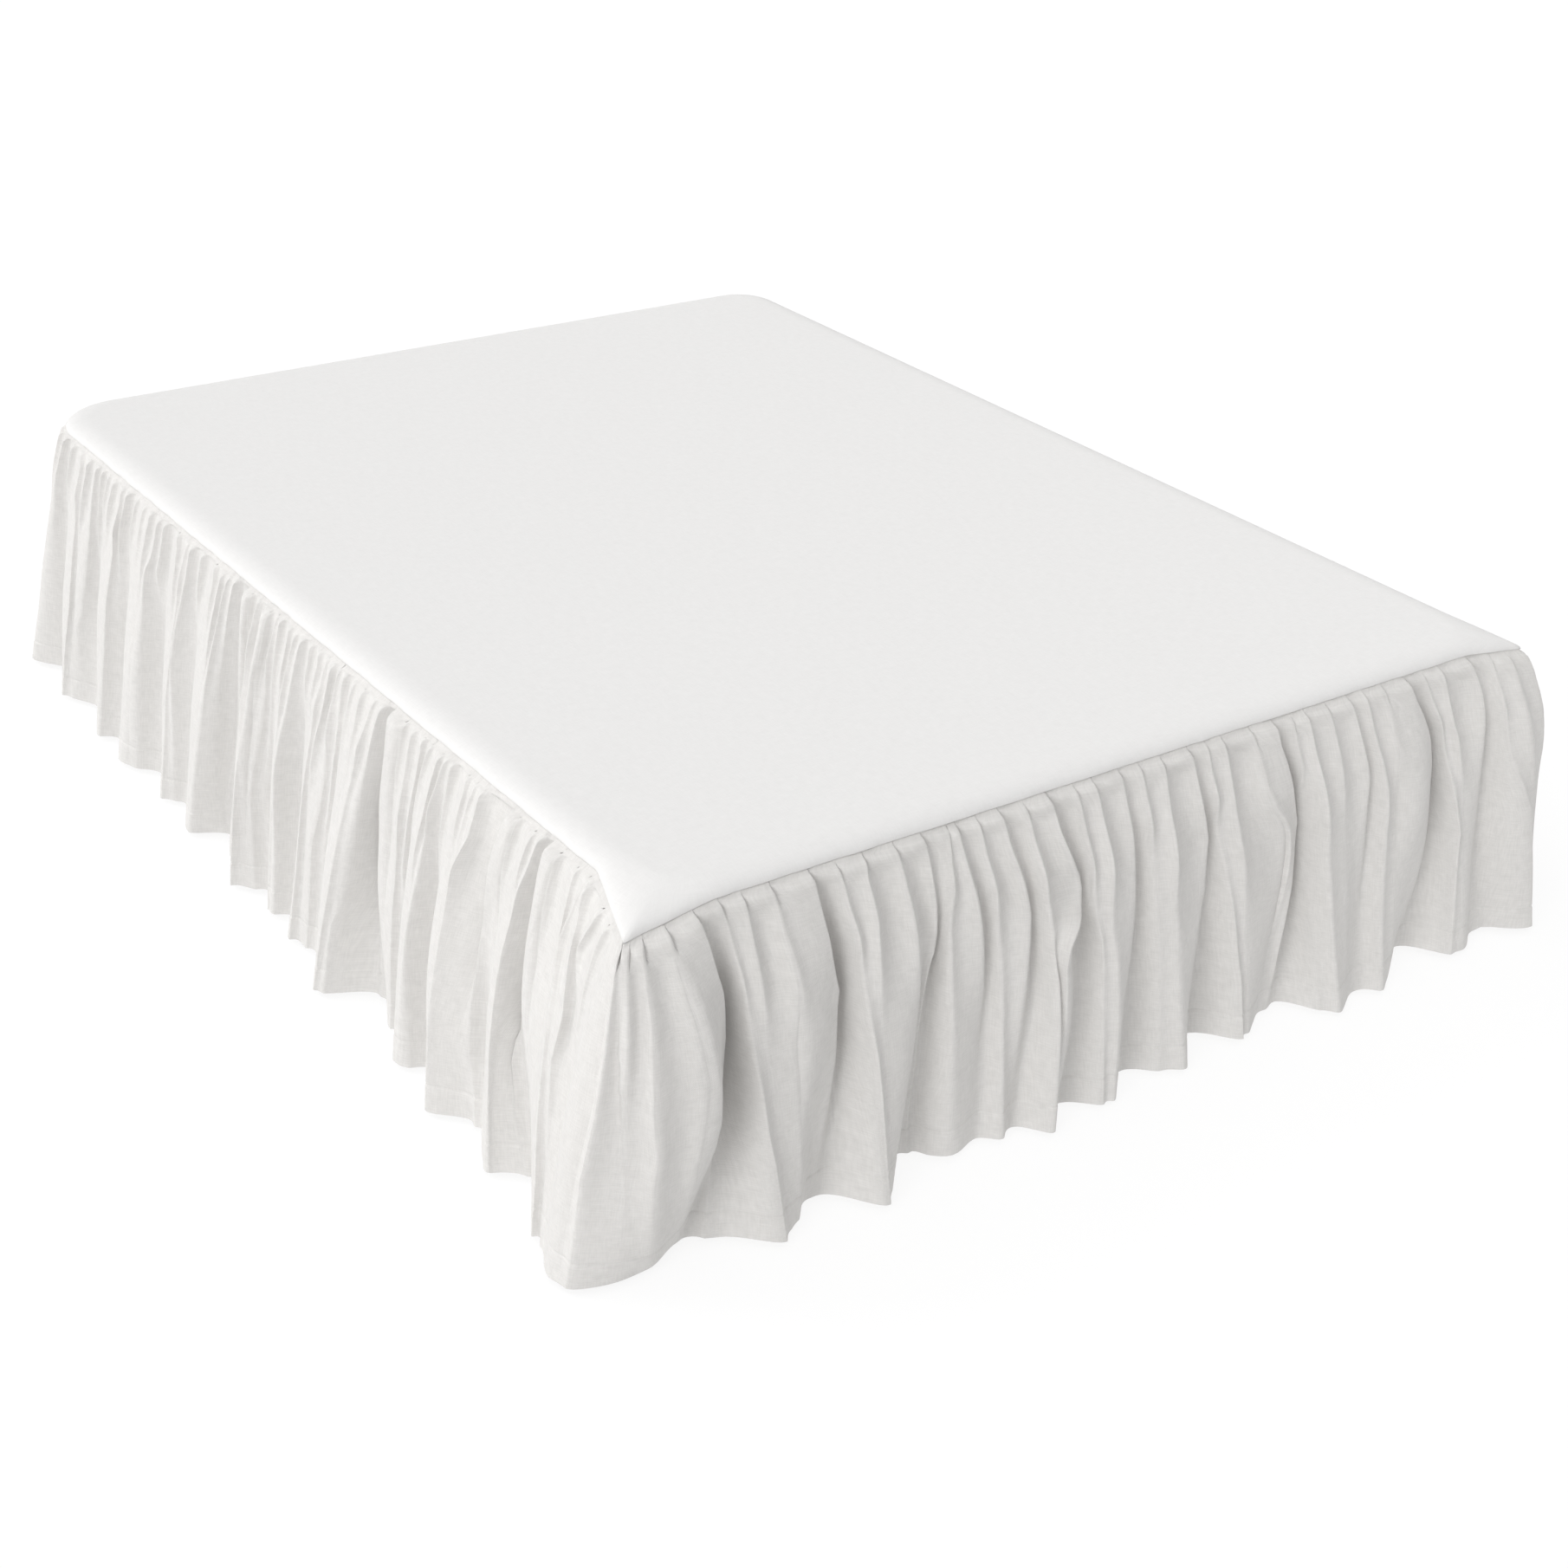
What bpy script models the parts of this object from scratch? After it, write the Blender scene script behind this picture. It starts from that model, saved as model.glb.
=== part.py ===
"""Gathered bed skirt on a plain bed base, in metres, +Z up, +Y towards the head of the bed.

The skirt is two pieces of cloth: a flat deck that lies on the base and turns down over its edge,
and one long gathered strip, the ruffle, sewn to the deck's lower edge down both sides and across
the foot. The base and its six legs stand inside it. The head end has no ruffle.

The ruffle is worked out from one curve, the rim: the line that its top edge is sewn along.
u runs along the rim, from the left side of the head (u = -BED_LENGTH), past the corner at the left
of the foot (u = 0), across the foot (to u = BED_WIDTH) and up the right side. v runs down the cloth,
0 at the seam and 1 at the hem. "out" is how far the cloth stands out from the rim's own plane.
"""

import math

import bpy
import numpy as np

# Driving dimensions
BED_WIDTH = 1.524
BED_LENGTH = 2.032
DROP = 0.461  # seam to hem
SEAM_DEPTH = 0.018  # top of the deck to the seam, along the sides
FLOOR_GAP = 0.010  # hem to floor
CLOTH = 0.002  # thickness of the deck and of the ruffle
EDGE_RADIUS = 0.016  # height of the deck's rounded edge
EDGE_WIDTH = 0.036  # how far in from the side the rounding reaches
GAP = 0.0003  # between pieces that touch
EDGE_CLEARANCE = 0.002  # between the cloth and the base's sides
VALLEY_PINCH = 1.3  # the valleys are narrower than the crests near the seam
PLEAT_PITCH = 0.042
PLEAT_DEPTH = 0.009
PLEAT_END = 0.42  # the v at which the small pleats have opened out
BASE_BOTTOM = 0.26
BASE_EDGE_RADIUS = 0.018
BASE_EDGE_WIDTH = 0.044
BASE_CORNER_RADIUS = 0.08  # in plan, at least: the flat of the deck has the same round corners
LEG_RADIUS = 0.030
LEG_INSET_X = 0.11
LEG_INSET_Y = 0.14
SHIFT_X, SHIFT_Y = 0.023, 0.016  # centres the whole: the folds stand out most at the left and at the foot

DECK_TOP = SEAM_DEPTH + DROP + FLOOR_GAP

# The rim's corners. The deck is cut square, so past the base's round corners it stands out to a tip,
# and the seam runs straight to the tip from both sides, dipping on the way.
HEAD_LEFT, FOOT_LEFT = -BED_LENGTH, 0.0
FOOT_RIGHT, HEAD_RIGHT = BED_WIDTH, BED_WIDTH + BED_LENGTH
# place along u, radius in plan, how far the tip stands beyond the side before it and the side after it,
# how far it dips, and how far before and after the corner the seam leaves its level line
CORNERS = (
    (HEAD_LEFT, 0.12, 0.000, 0.000, 0.000, 0.15, 0.15),
    (FOOT_LEFT, 0.04, 0.048, 0.010, 0.014, 0.13, 0.09),
    (FOOT_RIGHT, 0.04, 0.015, 0.022, 0.008, 0.08, 0.12),
    (HEAD_RIGHT, 0.08, 0.000, 0.000, 0.000, 0.12, 0.12),
)
RUFFLE_START = HEAD_LEFT - 0.15
RUFFLE_END = HEAD_RIGHT + 0.13

# The main folds. A row is one fold: the valley before it, then its crest. Each line of the fold has
# its place at the seam, at the bend (BEND_LEVEL down) and at the hem, and how far it stands out there.
BEND_LEVEL = 0.3
# valley: seam, bend, hem, out;  crest: seam, bend, hem, out
FOOT_FOLDS = (
    (0.088, 0.088, 0.030, 0.038, 0.130, 0.125, 0.135, 0.107),
    (0.238, 0.258, 0.213, 0.053, 0.300, 0.300, 0.290, 0.115),
    (0.410, 0.412, 0.370, 0.045, 0.440, 0.432, 0.430, 0.087),
    (0.458, 0.487, 0.475, 0.076, 0.510, 0.515, 0.505, 0.087),
    (0.537, 0.563, 0.530, 0.083, 0.585, 0.592, 0.575, 0.112),
    (0.618, 0.651, 0.625, 0.070, 0.680, 0.690, 0.690, 0.102),
    (0.748, 0.762, 0.750, 0.061, 0.800, 0.805, 0.835, 0.097),
    (0.868, 0.897, 0.895, 0.043, 0.940, 0.945, 0.965, 0.086),
    (1.040, 1.071, 1.065, 0.038, 1.100, 1.105, 1.140, 0.115),
    (1.190, 1.205, 1.195, 0.090, 1.245, 1.250, 1.240, 0.102),
    (1.315, 1.358, 1.345, 0.036, 1.395, 1.400, 1.430, 0.097),
    (1.460, 1.462, 1.494, 0.068, 1.505, 1.508, 1.515, 0.133),
)
# The left side, measured from the foot towards the head
LEFT_FOLDS = (
    (0.036, 0.042, 0.040, 0.136, 0.160, 0.130, 0.056, 0.128),
    (0.235, 0.243, 0.166, 0.071, 0.268, 0.262, 0.222, 0.113),
    (0.318, 0.325, 0.318, 0.074, 0.425, 0.420, 0.372, 0.116),
    (0.480, 0.482, 0.460, 0.074, 0.520, 0.518, 0.508, 0.108),
    (0.560, 0.560, 0.550, 0.068, 0.612, 0.608, 0.588, 0.072),
    (0.665, 0.675, 0.668, 0.041, 0.725, 0.722, 0.730, 0.114),
    (0.798, 0.800, 0.834, 0.074, 0.862, 0.860, 0.885, 0.084),
    (0.920, 0.930, 0.938, 0.062, 0.980, 0.974, 0.970, 0.084),
    (1.020, 1.026, 1.025, 0.061, 1.085, 1.082, 1.080, 0.096),
    (1.120, 1.130, 1.125, 0.052, 1.155, 1.156, 1.155, 0.055),
    (1.185, 1.194, 1.228, 0.036, 1.238, 1.238, 1.275, 0.092),
    (1.318, 1.326, 1.368, 0.058, 1.385, 1.388, 1.405, 0.079),
    (1.455, 1.466, 1.480, 0.051, 1.520, 1.530, 1.565, 0.090),
    (1.600, 1.610, 1.640, 0.061, 1.655, 1.660, 1.680, 0.082),
    (1.735, 1.748, 1.785, 0.046, 1.815, 1.825, 1.860, 0.076),
    (1.900, 1.915, 1.960, 0.044, 1.970, 1.980, 2.000, 0.108),
    (2.050, 2.055, 2.062, 0.056, 2.095, 2.098, 2.105, 0.076),
)
CORNER_CREST = (-0.010, -0.014, -0.024, 0.166)  # the fold that stands at the left of the foot
VALLEY_OPENING = 0.8  # how the valleys and the crests leave the base's side: out grows as v to this power
CREST_OPENING = 0.53
HEAD_OPENING = 0.75  # within HEAD_REACH of the left of the head they hang closer
HEAD_REACH = 0.15
TIP_FADE = 1.5  # how fast the corner tips die away down the cloth

# Steps of the solids
RUFFLE_LEVELS = (0.0, 0.045, 0.14, 0.34, 0.64, 1.0)
# place in the pleat, height as a share of its depth
PLEAT_STEPS = ((0.0, -0.2), (0.40, 0.45), (0.78, 1.0))
EDGE_STEPS = 4
CORNER_STEPS = 8


def right_folds():
    """The right side's folds, measured from the foot: widths and depths that wander, as on the left."""
    rows = []
    valley, number = 0.070, 0
    while valley < BED_LENGTH + 0.06:
        width = 0.112 + 0.030 * math.sin(2.4 * number + 0.5)
        crest = valley + width * (0.50 + 0.10 * math.sin(1.3 * number))
        valley_out = 0.062 + 0.014 * math.cos(2.9 * number)
        crest_out = 0.101 + 0.014 * math.sin(1.7 * number + 1.0)
        lean = 0.014 * math.sin(1.9 * number)
        valley_line = (valley - lean, valley - 0.6 * lean, valley, valley_out)
        crest_line = (crest - lean, crest - 0.6 * lean, crest, crest_out)
        rows.append(valley_line + crest_line)
        valley += width
        number += 1
    return rows


def fold_lines():
    """Every valley and crest as rows of (seam u, bend u, hem u, out, opening), in order along u."""
    lines = [CORNER_CREST + (CREST_OPENING,)]
    for row in LEFT_FOLDS:
        at_head = row[0] > BED_LENGTH - HEAD_REACH
        lines.append((-row[0], -row[1], -row[2], row[3], HEAD_OPENING if at_head else VALLEY_OPENING))
        lines.append((-row[4], -row[5], -row[6], row[7], HEAD_OPENING if at_head else CREST_OPENING))
    for start, rows in ((FOOT_LEFT, FOOT_FOLDS), (FOOT_RIGHT, right_folds())):
        for row in rows:
            lines.append((start + row[0], start + row[1], start + row[2], row[3], VALLEY_OPENING))
            lines.append((start + row[4], start + row[5], start + row[6], row[7], CREST_OPENING))
    return np.array(sorted(lines, key=lambda line: line[2]))


FOLDS = fold_lines()


def side_frame(number):
    """(outward, along) of one straight side, with 0 the head, then the left, the foot and the right."""
    turn = math.radians(90 + 90 * number)
    outward = np.array((round(math.cos(turn)), round(math.sin(turn))), float)
    return outward, np.array((-outward[1], outward[0]))


def corner_point(number):
    """The sharp corner between side number and the next: the head's left one is 0."""
    outward = side_frame(number)[0] + side_frame(number + 1)[0]
    return outward * (BED_WIDTH / 2, BED_LENGTH / 2)


def rim(u, inset=0.0, least_radius=0.0):
    """The rim's point (x, y) and outward normal at u, moved in by inset; its corners can be rounder."""
    nearest = min(range(4), key=lambda number: abs(u - CORNERS[number][0]))
    place, radius = CORNERS[nearest][0], max(CORNERS[nearest][1], least_radius)
    corner = corner_point(nearest)
    if abs(u - place) < radius:
        share = (u - place + radius) / (2 * radius)
        angle = math.radians(90 * (nearest + 1 + share))
        normal = np.array((math.cos(angle), math.sin(angle)))
        centre = corner - radius * np.sign(corner)
        return centre + (radius - inset) * normal, normal
    outward, along = side_frame(nearest + (u > place))
    return corner + (u - place) * along - inset * outward, outward


def corner_tip(u):
    """(shift in x and y, dip) from the rim at u to the seam's straight run to the corner's tip."""
    for number, (place, _, out_before, out_after, dip, before, after) in enumerate(CORNERS):
        away = u - place
        share = 1.0 + (away / before if away < 0 else -away / after)
        if share > 0 and dip:
            (out_one, along_one), (out_two, along_two) = side_frame(number), side_frame(number + 1)
            corner = corner_point(number)
            tip = corner + out_before * out_one + out_after * out_two
            reach = corner - before * along_one if away < 0 else corner + after * along_two
            return reach + share * (tip - reach) - rim(u)[0], share * dip
    return np.zeros(2), 0.0


def seam_height(u):
    """Height of the seam: level along the sides, dipping to a point at each corner."""
    return DECK_TOP - SEAM_DEPTH - corner_tip(u)[1]


def fold_places(v):
    """Each valley's and crest's place along u at this level, by a curve through its three places."""
    seam, bend, hem = FOLDS[:, 0], FOLDS[:, 1], FOLDS[:, 2]
    b = BEND_LEVEL
    middle = (bend - (1 - b) ** 2 * seam - b * b * hem) / (2 * b * (1 - b))
    places = (1 - v) ** 2 * seam + 2 * v * (1 - v) * middle + v * v * hem
    return np.maximum.accumulate(places + 1e-6 * np.arange(len(places)))


def fold_out(u, v):
    """How far the main folds stand out at (u, v): cosine waves from each valley to the next crest."""
    places = fold_places(v)
    outs = FOLDS[:, 3] * v ** FOLDS[:, 4]
    k = int(np.clip(np.searchsorted(places, u), 1, len(places) - 1))
    share = np.clip((u - places[k - 1]) / (places[k] - places[k - 1]), 0, 1)
    power = 1 + VALLEY_PINCH * (1 - v)
    share = share**power if outs[k] < outs[k - 1] else 1 - (1 - share) ** power
    return outs[k - 1] + (outs[k] - outs[k - 1]) * (1 - math.cos(math.pi * share)) / 2


def smooth(low, high, value):
    t = min(max((value - low) / (high - low), 0.0), 1.0)
    return t * t * (3 - 2 * t)


def pleat_out(height, v):
    """The small knife pleats: flat at the stitching, full just below it, gone at PLEAT_END."""
    return PLEAT_DEPTH * height * smooth(-0.03, 0.04, v) * (1 - smooth(0.06, PLEAT_END, v)) * (v > 0)


def pleat_columns():
    """(u, height in the pleat) for each column of the ruffle, three to a pleat."""
    stops = [RUFFLE_START, RUFFLE_END]
    for place, radius, _, _, _, before, after in CORNERS:
        stops += [place - before, place - radius, place, place + radius, place + after]
    stops = sorted({round(stop, 6) for stop in stops if RUFFLE_START <= stop <= RUFFLE_END})
    columns = []
    for low, high in zip(stops, stops[1:]):
        in_bend = any(abs((low + high) / 2 - corner[0]) < corner[1] for corner in CORNERS)
        pitch = PLEAT_PITCH * (0.5 if in_bend else 1.0)
        count = max(1, round((high - low) / pitch))
        for n in range(count):
            for share, height in PLEAT_STEPS:
                columns.append((low + (n + share) * (high - low) / count, height))
    columns.append((RUFFLE_END, PLEAT_STEPS[0][1]))
    return columns


def point_on_ruffle(u, height, v, depth_in=0.0):
    """A point of the ruffle's face, or depth_in metres behind it."""
    out = max(fold_out(u, v) + pleat_out(height, v), 0.0) - depth_in
    x, y = rim(u, -out)[0] + corner_tip(u)[0] * (1 - v) ** TIP_FADE
    top = seam_height(u) - GAP
    return (x, y, top + (FLOOR_GAP - top) * v)


def make_object(name, vertices, faces, material, smooth_angle=None):
    mesh = bpy.data.meshes.new(name)
    mesh.from_pydata([tuple(vertex) for vertex in vertices], [], faces)
    mesh.update()
    if smooth_angle is not None:
        mesh.shade_smooth()
        mesh.set_sharp_from_angle(angle=math.radians(smooth_angle))
    mesh.materials.append(material)
    made = bpy.data.objects.new(name, mesh)
    bpy.context.scene.collection.objects.link(made)
    made.location = (SHIFT_X, SHIFT_Y, 0.0)
    return made


def make_material(name, color, roughness):
    material = bpy.data.materials.new(name)
    material.use_nodes = True
    shader = material.node_tree.nodes["Principled BSDF"]
    shader.inputs["Base Color"].default_value = (*color, 1.0)
    shader.inputs["Roughness"].default_value = roughness
    shader.inputs["Metallic"].default_value = 0.0
    return material


def two_triangles(a, b, c, d):
    return [(a, b, c), (a, c, d)]


def make_ruffle(material):
    """One strip of cloth: a front and a back grid of points, joined round all four edges."""
    columns = pleat_columns()
    across, down = len(columns), len(RUFFLE_LEVELS)
    front, back = [], []
    for v in RUFFLE_LEVELS:
        face = np.array([point_on_ruffle(u, height, v) for u, height in columns])
        steps = np.gradient(face[:, :2], axis=0)
        outward = np.array([rim(u)[1] for u, _ in columns])
        run = np.abs(steps[:, 0] * -outward[:, 1] + steps[:, 1] * outward[:, 0])
        rise = np.abs((steps * outward).sum(axis=1))
        steepness = np.minimum(np.sqrt(1 + (rise / np.maximum(run, 1e-4)) ** 2), 1.6)
        front.extend(face)
        back.extend(
            point_on_ruffle(u, height, v, CLOTH * steep) for (u, height), steep in zip(columns, steepness)
        )
    behind = across * down
    faces = []
    for row in range(down - 1):
        for column in range(across - 1):
            a = row * across + column
            b, c, d = a + across, a + across + 1, a + 1
            faces += two_triangles(a, b, c, d)
            faces += [(behind + c, behind + b, behind + a), (behind + d, behind + c, behind + a)]
    for column in range(across - 1):
        a, b = column, column + 1
        faces += two_triangles(a, b, behind + b, behind + a)
        a, b = a + (down - 1) * across, b + (down - 1) * across
        faces += two_triangles(b, a, behind + a, behind + b)
    for row in range(down - 1):
        a, b = row * across, (row + 1) * across
        faces += two_triangles(b, a, behind + a, behind + b)
        a, b = a + across - 1, b + across - 1
        faces += two_triangles(a, b, behind + b, behind + a)
    return make_object("ruffle", front + back, faces, material, smooth_angle=50)


def ring_places():
    """u all the way round the bed, closed at the middle of the head."""
    around = [HEAD_LEFT - BED_WIDTH / 2]
    for place, radius, _, _, _, before, after in CORNERS:
        radius = max(radius, BASE_CORNER_RADIUS)
        bend = [place + radius * (2 * step / CORNER_STEPS - 1) for step in range(CORNER_STEPS + 1)]
        around += [place - before, *bend, place + after]
    middles = [(HEAD_LEFT + FOOT_LEFT) / 2, (FOOT_LEFT + FOOT_RIGHT) / 2, (FOOT_RIGHT + HEAD_RIGHT) / 2]
    return sorted({round(u, 6) for u in around + middles})


def edge_profile(radius, top):
    """(lean, height) up a rounded edge. lean is 1 at the side and 0 where the flat top begins."""
    turns = [math.radians(90 * step / EDGE_STEPS) for step in range(EDGE_STEPS)]
    return [(math.cos(turn), top - radius * (1 - math.sin(turn))) for turn in turns] + [(0.0, top)]


def rings_to_solid(name, rings, material):
    """A closed solid from rings of points, each joined to the next, the first and the last filled in."""
    count = len(rings[0])
    faces = [tuple(reversed(range(count)))]
    for row in range(len(rings) - 1):
        for k in range(count):
            a, b = row * count + k, row * count + (k + 1) % count
            faces.append((a, b, b + count, a + count))
    faces.append(tuple(range((len(rings) - 1) * count, len(rings) * count)))
    vertices = [point for ring in rings for point in ring]
    return make_object(name, vertices, faces, material, smooth_angle=40)


def make_deck(material):
    """The flat cloth with its turned-down edge: up inside the edge, then over it and down outside."""
    around = ring_places()

    def ring(inset, lean, height):
        """One level of the edge, from the seam with its tips (lean 1) to the round flat (lean 0)."""
        points = []
        for u in around:
            shift, dip = corner_tip(u)
            seam = rim(u, inset)[0] + shift
            flat = rim(u, EDGE_WIDTH, BASE_CORNER_RADIUS)[0]
            points.append((*(lean * seam + (1 - lean) * flat), height - lean * dip))
        return points

    seam_level = DECK_TOP - SEAM_DEPTH
    inner = [ring(CLOTH, 1.0, seam_level)]
    inner += [ring(CLOTH, *step) for step in edge_profile(EDGE_RADIUS - CLOTH, DECK_TOP - CLOTH)]
    outer = [ring(0.0, *step) for step in reversed(edge_profile(EDGE_RADIUS, DECK_TOP))]
    outer.append(ring(0.0, 1.0, seam_level))
    count = len(around)
    rings = inner + outer
    faces = [tuple(range(len(inner) * count - count, len(inner) * count))[::-1]]
    faces.append(tuple(range(len(inner) * count, len(inner) * count + count)))
    for row in range(len(rings)):
        if row == len(inner) - 1:
            continue
        following = (row + 1) % len(rings)
        for k in range(count):
            a, b = row * count + k, row * count + (k + 1) % count
            c, d = following * count + (k + 1) % count, following * count + k
            faces.append((d, c, b, a))
    vertices = [point for ring_points in rings for point in ring_points]
    return make_object("deck", vertices, faces, material, smooth_angle=40)


def make_base(material):
    """The padded base under the deck, with the corners and the top edge rounded to fit it."""
    side = CLOTH + EDGE_CLEARANCE
    around = ring_places()
    rings = []
    for lean, height in [(1.0, BASE_BOTTOM)] + edge_profile(BASE_EDGE_RADIUS, DECK_TOP - CLOTH - GAP):
        inset = side + BASE_EDGE_WIDTH * (1 - lean)
        rings.append([(*rim(u, inset, BASE_CORNER_RADIUS)[0], height) for u in around])
    return rings_to_solid("bed_base", rings, material)


def make_leg(name, x, y, material):
    height = BASE_BOTTOM - GAP
    circle = [(math.cos(a), math.sin(a)) for a in np.linspace(0, 2 * math.pi, 16, endpoint=False)]
    rings = [[(x + LEG_RADIUS * c, y + LEG_RADIUS * s, z) for c, s in circle] for z in (0.0, height)]
    return rings_to_solid(name, rings, material)


def main():
    for old in list(bpy.data.objects):
        bpy.data.objects.remove(old, do_unlink=True)
    cotton = make_material("deck_cotton", (0.86, 0.86, 0.85), 0.9)
    gathered = make_material("ruffle_cotton", (0.86, 0.86, 0.85), 0.9)
    ticking = make_material("base_cover", (0.72, 0.70, 0.66), 0.9)
    beech = make_material("leg_wood", (0.50, 0.34, 0.20), 0.5)
    make_deck(cotton)
    make_ruffle(gathered)
    make_base(ticking)
    leg_x = BED_WIDTH / 2 - LEG_INSET_X
    leg_y = BED_LENGTH / 2 - LEG_INSET_Y
    for side, x in (("left", -leg_x), ("right", leg_x)):
        for place, y in (("foot", -leg_y), ("middle", 0.0), ("head", leg_y)):
            make_leg(f"leg_{place}_{side}", x, y, beech)


main()
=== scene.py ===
import math

import bpy
import numpy as np
from mathutils import Matrix


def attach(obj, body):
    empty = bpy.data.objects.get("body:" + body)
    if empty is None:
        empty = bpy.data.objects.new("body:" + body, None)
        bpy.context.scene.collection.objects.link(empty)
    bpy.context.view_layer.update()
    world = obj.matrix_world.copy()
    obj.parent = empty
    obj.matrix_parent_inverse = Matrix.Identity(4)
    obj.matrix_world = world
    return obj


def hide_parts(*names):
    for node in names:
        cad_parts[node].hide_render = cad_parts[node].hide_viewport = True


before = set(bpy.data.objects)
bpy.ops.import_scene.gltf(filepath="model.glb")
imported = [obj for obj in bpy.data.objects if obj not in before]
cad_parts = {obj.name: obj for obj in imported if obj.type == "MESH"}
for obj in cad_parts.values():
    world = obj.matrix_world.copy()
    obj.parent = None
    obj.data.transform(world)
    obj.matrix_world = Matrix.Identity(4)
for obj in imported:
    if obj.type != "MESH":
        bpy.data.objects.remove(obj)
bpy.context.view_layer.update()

# %% [markdown]
# # A gathered bed skirt
#
# A bed skirt is a flat cloth, the deck, that lies on the bed base under the mattress, and a long strip,
# the ruffle, that is gathered to about half its length and sewn round the deck's edge, so that it hangs
# to the floor in folds. The solids already have the main folds. Here each piece of cloth gets the fine
# form that the solids leave out: pleats that lap over each other at the stitching, the creases that run
# down from them, the seam, the hem and the weave.

# %% The camera comes first
# angles in degrees, distance and target in metres, lens and sensor in millimetres
AZIMUTH, ELEVATION, ROLL = map(math.radians, (-35.979, 28.115, 2.212))
DISTANCE = 3.2125
LENS, SENSOR = 56.34, 36.0
TARGET = np.array((-0.4279, -0.8263, 0.489))


def make_camera():
    """Back is the unit vector from the target to the camera, and right and up are turned about it."""
    back = np.array((
        math.sin(AZIMUTH) * math.cos(ELEVATION),
        -math.cos(AZIMUTH) * math.cos(ELEVATION),
        math.sin(ELEVATION),
    ))
    right = np.cross(-back, (0, 0, 1))
    right /= np.linalg.norm(right)
    up = np.cross(right, -back)
    turned_right = math.cos(ROLL) * right + math.sin(ROLL) * up
    turned_up = -math.sin(ROLL) * right + math.cos(ROLL) * up
    place = TARGET + back * DISTANCE
    camera = bpy.data.objects.new("camera", bpy.data.cameras.new("camera"))
    camera.data.lens, camera.data.sensor_width = LENS, SENSOR
    camera.data.clip_end = 200.0
    columns = np.column_stack((turned_right, turned_up, back, place))
    camera.matrix_world = Matrix([*map(tuple, columns), (0, 0, 0, 1)])
    bpy.context.scene.collection.objects.link(camera)
    bpy.context.scene.camera = camera
    return camera


camera = make_camera()
print("camera at", [round(x, 3) for x in camera.matrix_world.translation])

# %% [markdown]
# ## One line to hang everything on
#
# The seam between deck and ruffle is one curve round three sides of the bed. If every point of the cloth
# is given by u, its place along that curve, by how deep it hangs, and by how far it stands out from the
# curve's own plane, then folds can be drawn as on a flat chart and still turn the corners with the bed.
# So the first tool is the curve itself: straight sides, a quarter circle at each corner, and a short
# straight run out to the tip of the square-cut deck at the two corners of the foot.

# %% Sizes, in metres
BED_WIDTH, BED_LENGTH = 1.524, 2.032
DROP = 0.461
SEAM_DEPTH = 0.018
FLOOR_GAP = 0.010
DECK_TOP = SEAM_DEPTH + DROP + FLOOR_GAP
SEAM_GAP = 0.0003
BED_CENTRE = np.array((0.023, 0.016))
HEAD_LEFT, FOOT_LEFT = -BED_LENGTH, 0.0
FOOT_RIGHT, HEAD_RIGHT = BED_WIDTH, BED_WIDTH + BED_LENGTH
RUFFLE_START, RUFFLE_END = HEAD_LEFT - 0.15, HEAD_RIGHT + 0.13
FLAT_RADIUS = 0.08
# place along u, radius in plan, how far the tip stands beyond the side before it and the side after it,
# how far it dips, and how far before and after the corner the seam leaves its level line
CORNERS = np.array((
    (HEAD_LEFT, 0.12, 0.000, 0.000, 0.000, 0.15, 0.15),
    (FOOT_LEFT, 0.04, 0.048, 0.010, 0.014, 0.13, 0.09),
    (FOOT_RIGHT, 0.04, 0.015, 0.022, 0.008, 0.08, 0.12),
    (HEAD_RIGHT, 0.08, 0.000, 0.000, 0.000, 0.12, 0.12),
))
SIDE_OUT = np.array(((0, 1), (-1, 0), (0, -1), (1, 0), (0, 1)), float)
SIDE_ALONG = np.stack((-SIDE_OUT[:, 1], SIDE_OUT[:, 0]), -1)
CORNER_POINT = (SIDE_OUT[:-1] + SIDE_OUT[1:]) * (BED_WIDTH / 2, BED_LENGTH / 2)


def rim(u, least_radius=0.0):
    """Points (x, y) and outward normals at u. At a corner the normal turns by 90 degrees while u goes
    through twice the radius; before and after that the point moves straight along the side."""
    near = np.abs(u[..., None] - CORNERS[:, 0]).argmin(-1)
    radius = np.maximum(CORNERS[near, 1], least_radius)[..., None]
    away = (u - CORNERS[near, 0])[..., None]
    bend = np.clip(away / radius, -1, 1)
    angle = np.radians(90 * (near[..., None] + 1.5 + bend / 2))
    normal = np.concatenate((np.cos(angle), np.sin(angle)), -1)
    along = np.stack((-normal[..., 1], normal[..., 0]), -1)
    centre = CORNER_POINT[near] - radius * np.sign(CORNER_POINT[near])
    return centre + radius * normal + (away - bend * radius) * along, normal


def tip(u):
    """Shift in x and y, and dip, that take the rim at u out to the seam's straight run to a corner's
    tip: a straight line from the level seam to the tip, minus the rim."""
    near = np.abs(u[..., None] - CORNERS[:, 0]).argmin(-1)
    _, _, out_before, out_after, dip, before, after = np.moveaxis(CORNERS[near], -1, 0)
    away = u - CORNERS[near, 0]
    share = np.where(away < 0, 1 + away / before, 1 - away / after)
    share = np.where((share > 0) & (dip > 0), share, 0.0)[..., None]
    corner, one, two = CORNER_POINT[near], SIDE_OUT[near], SIDE_OUT[near + 1]
    end = corner + out_before[..., None] * one + out_after[..., None] * two
    level = np.where(
        (away < 0)[..., None],
        corner - before[..., None] * SIDE_ALONG[near],
        corner + after[..., None] * SIDE_ALONG[near + 1],
    )
    shift = np.where(share > 0, level + share * (end - level) - rim(u)[0], 0.0)
    return shift, share[..., 0] * dip


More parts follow.
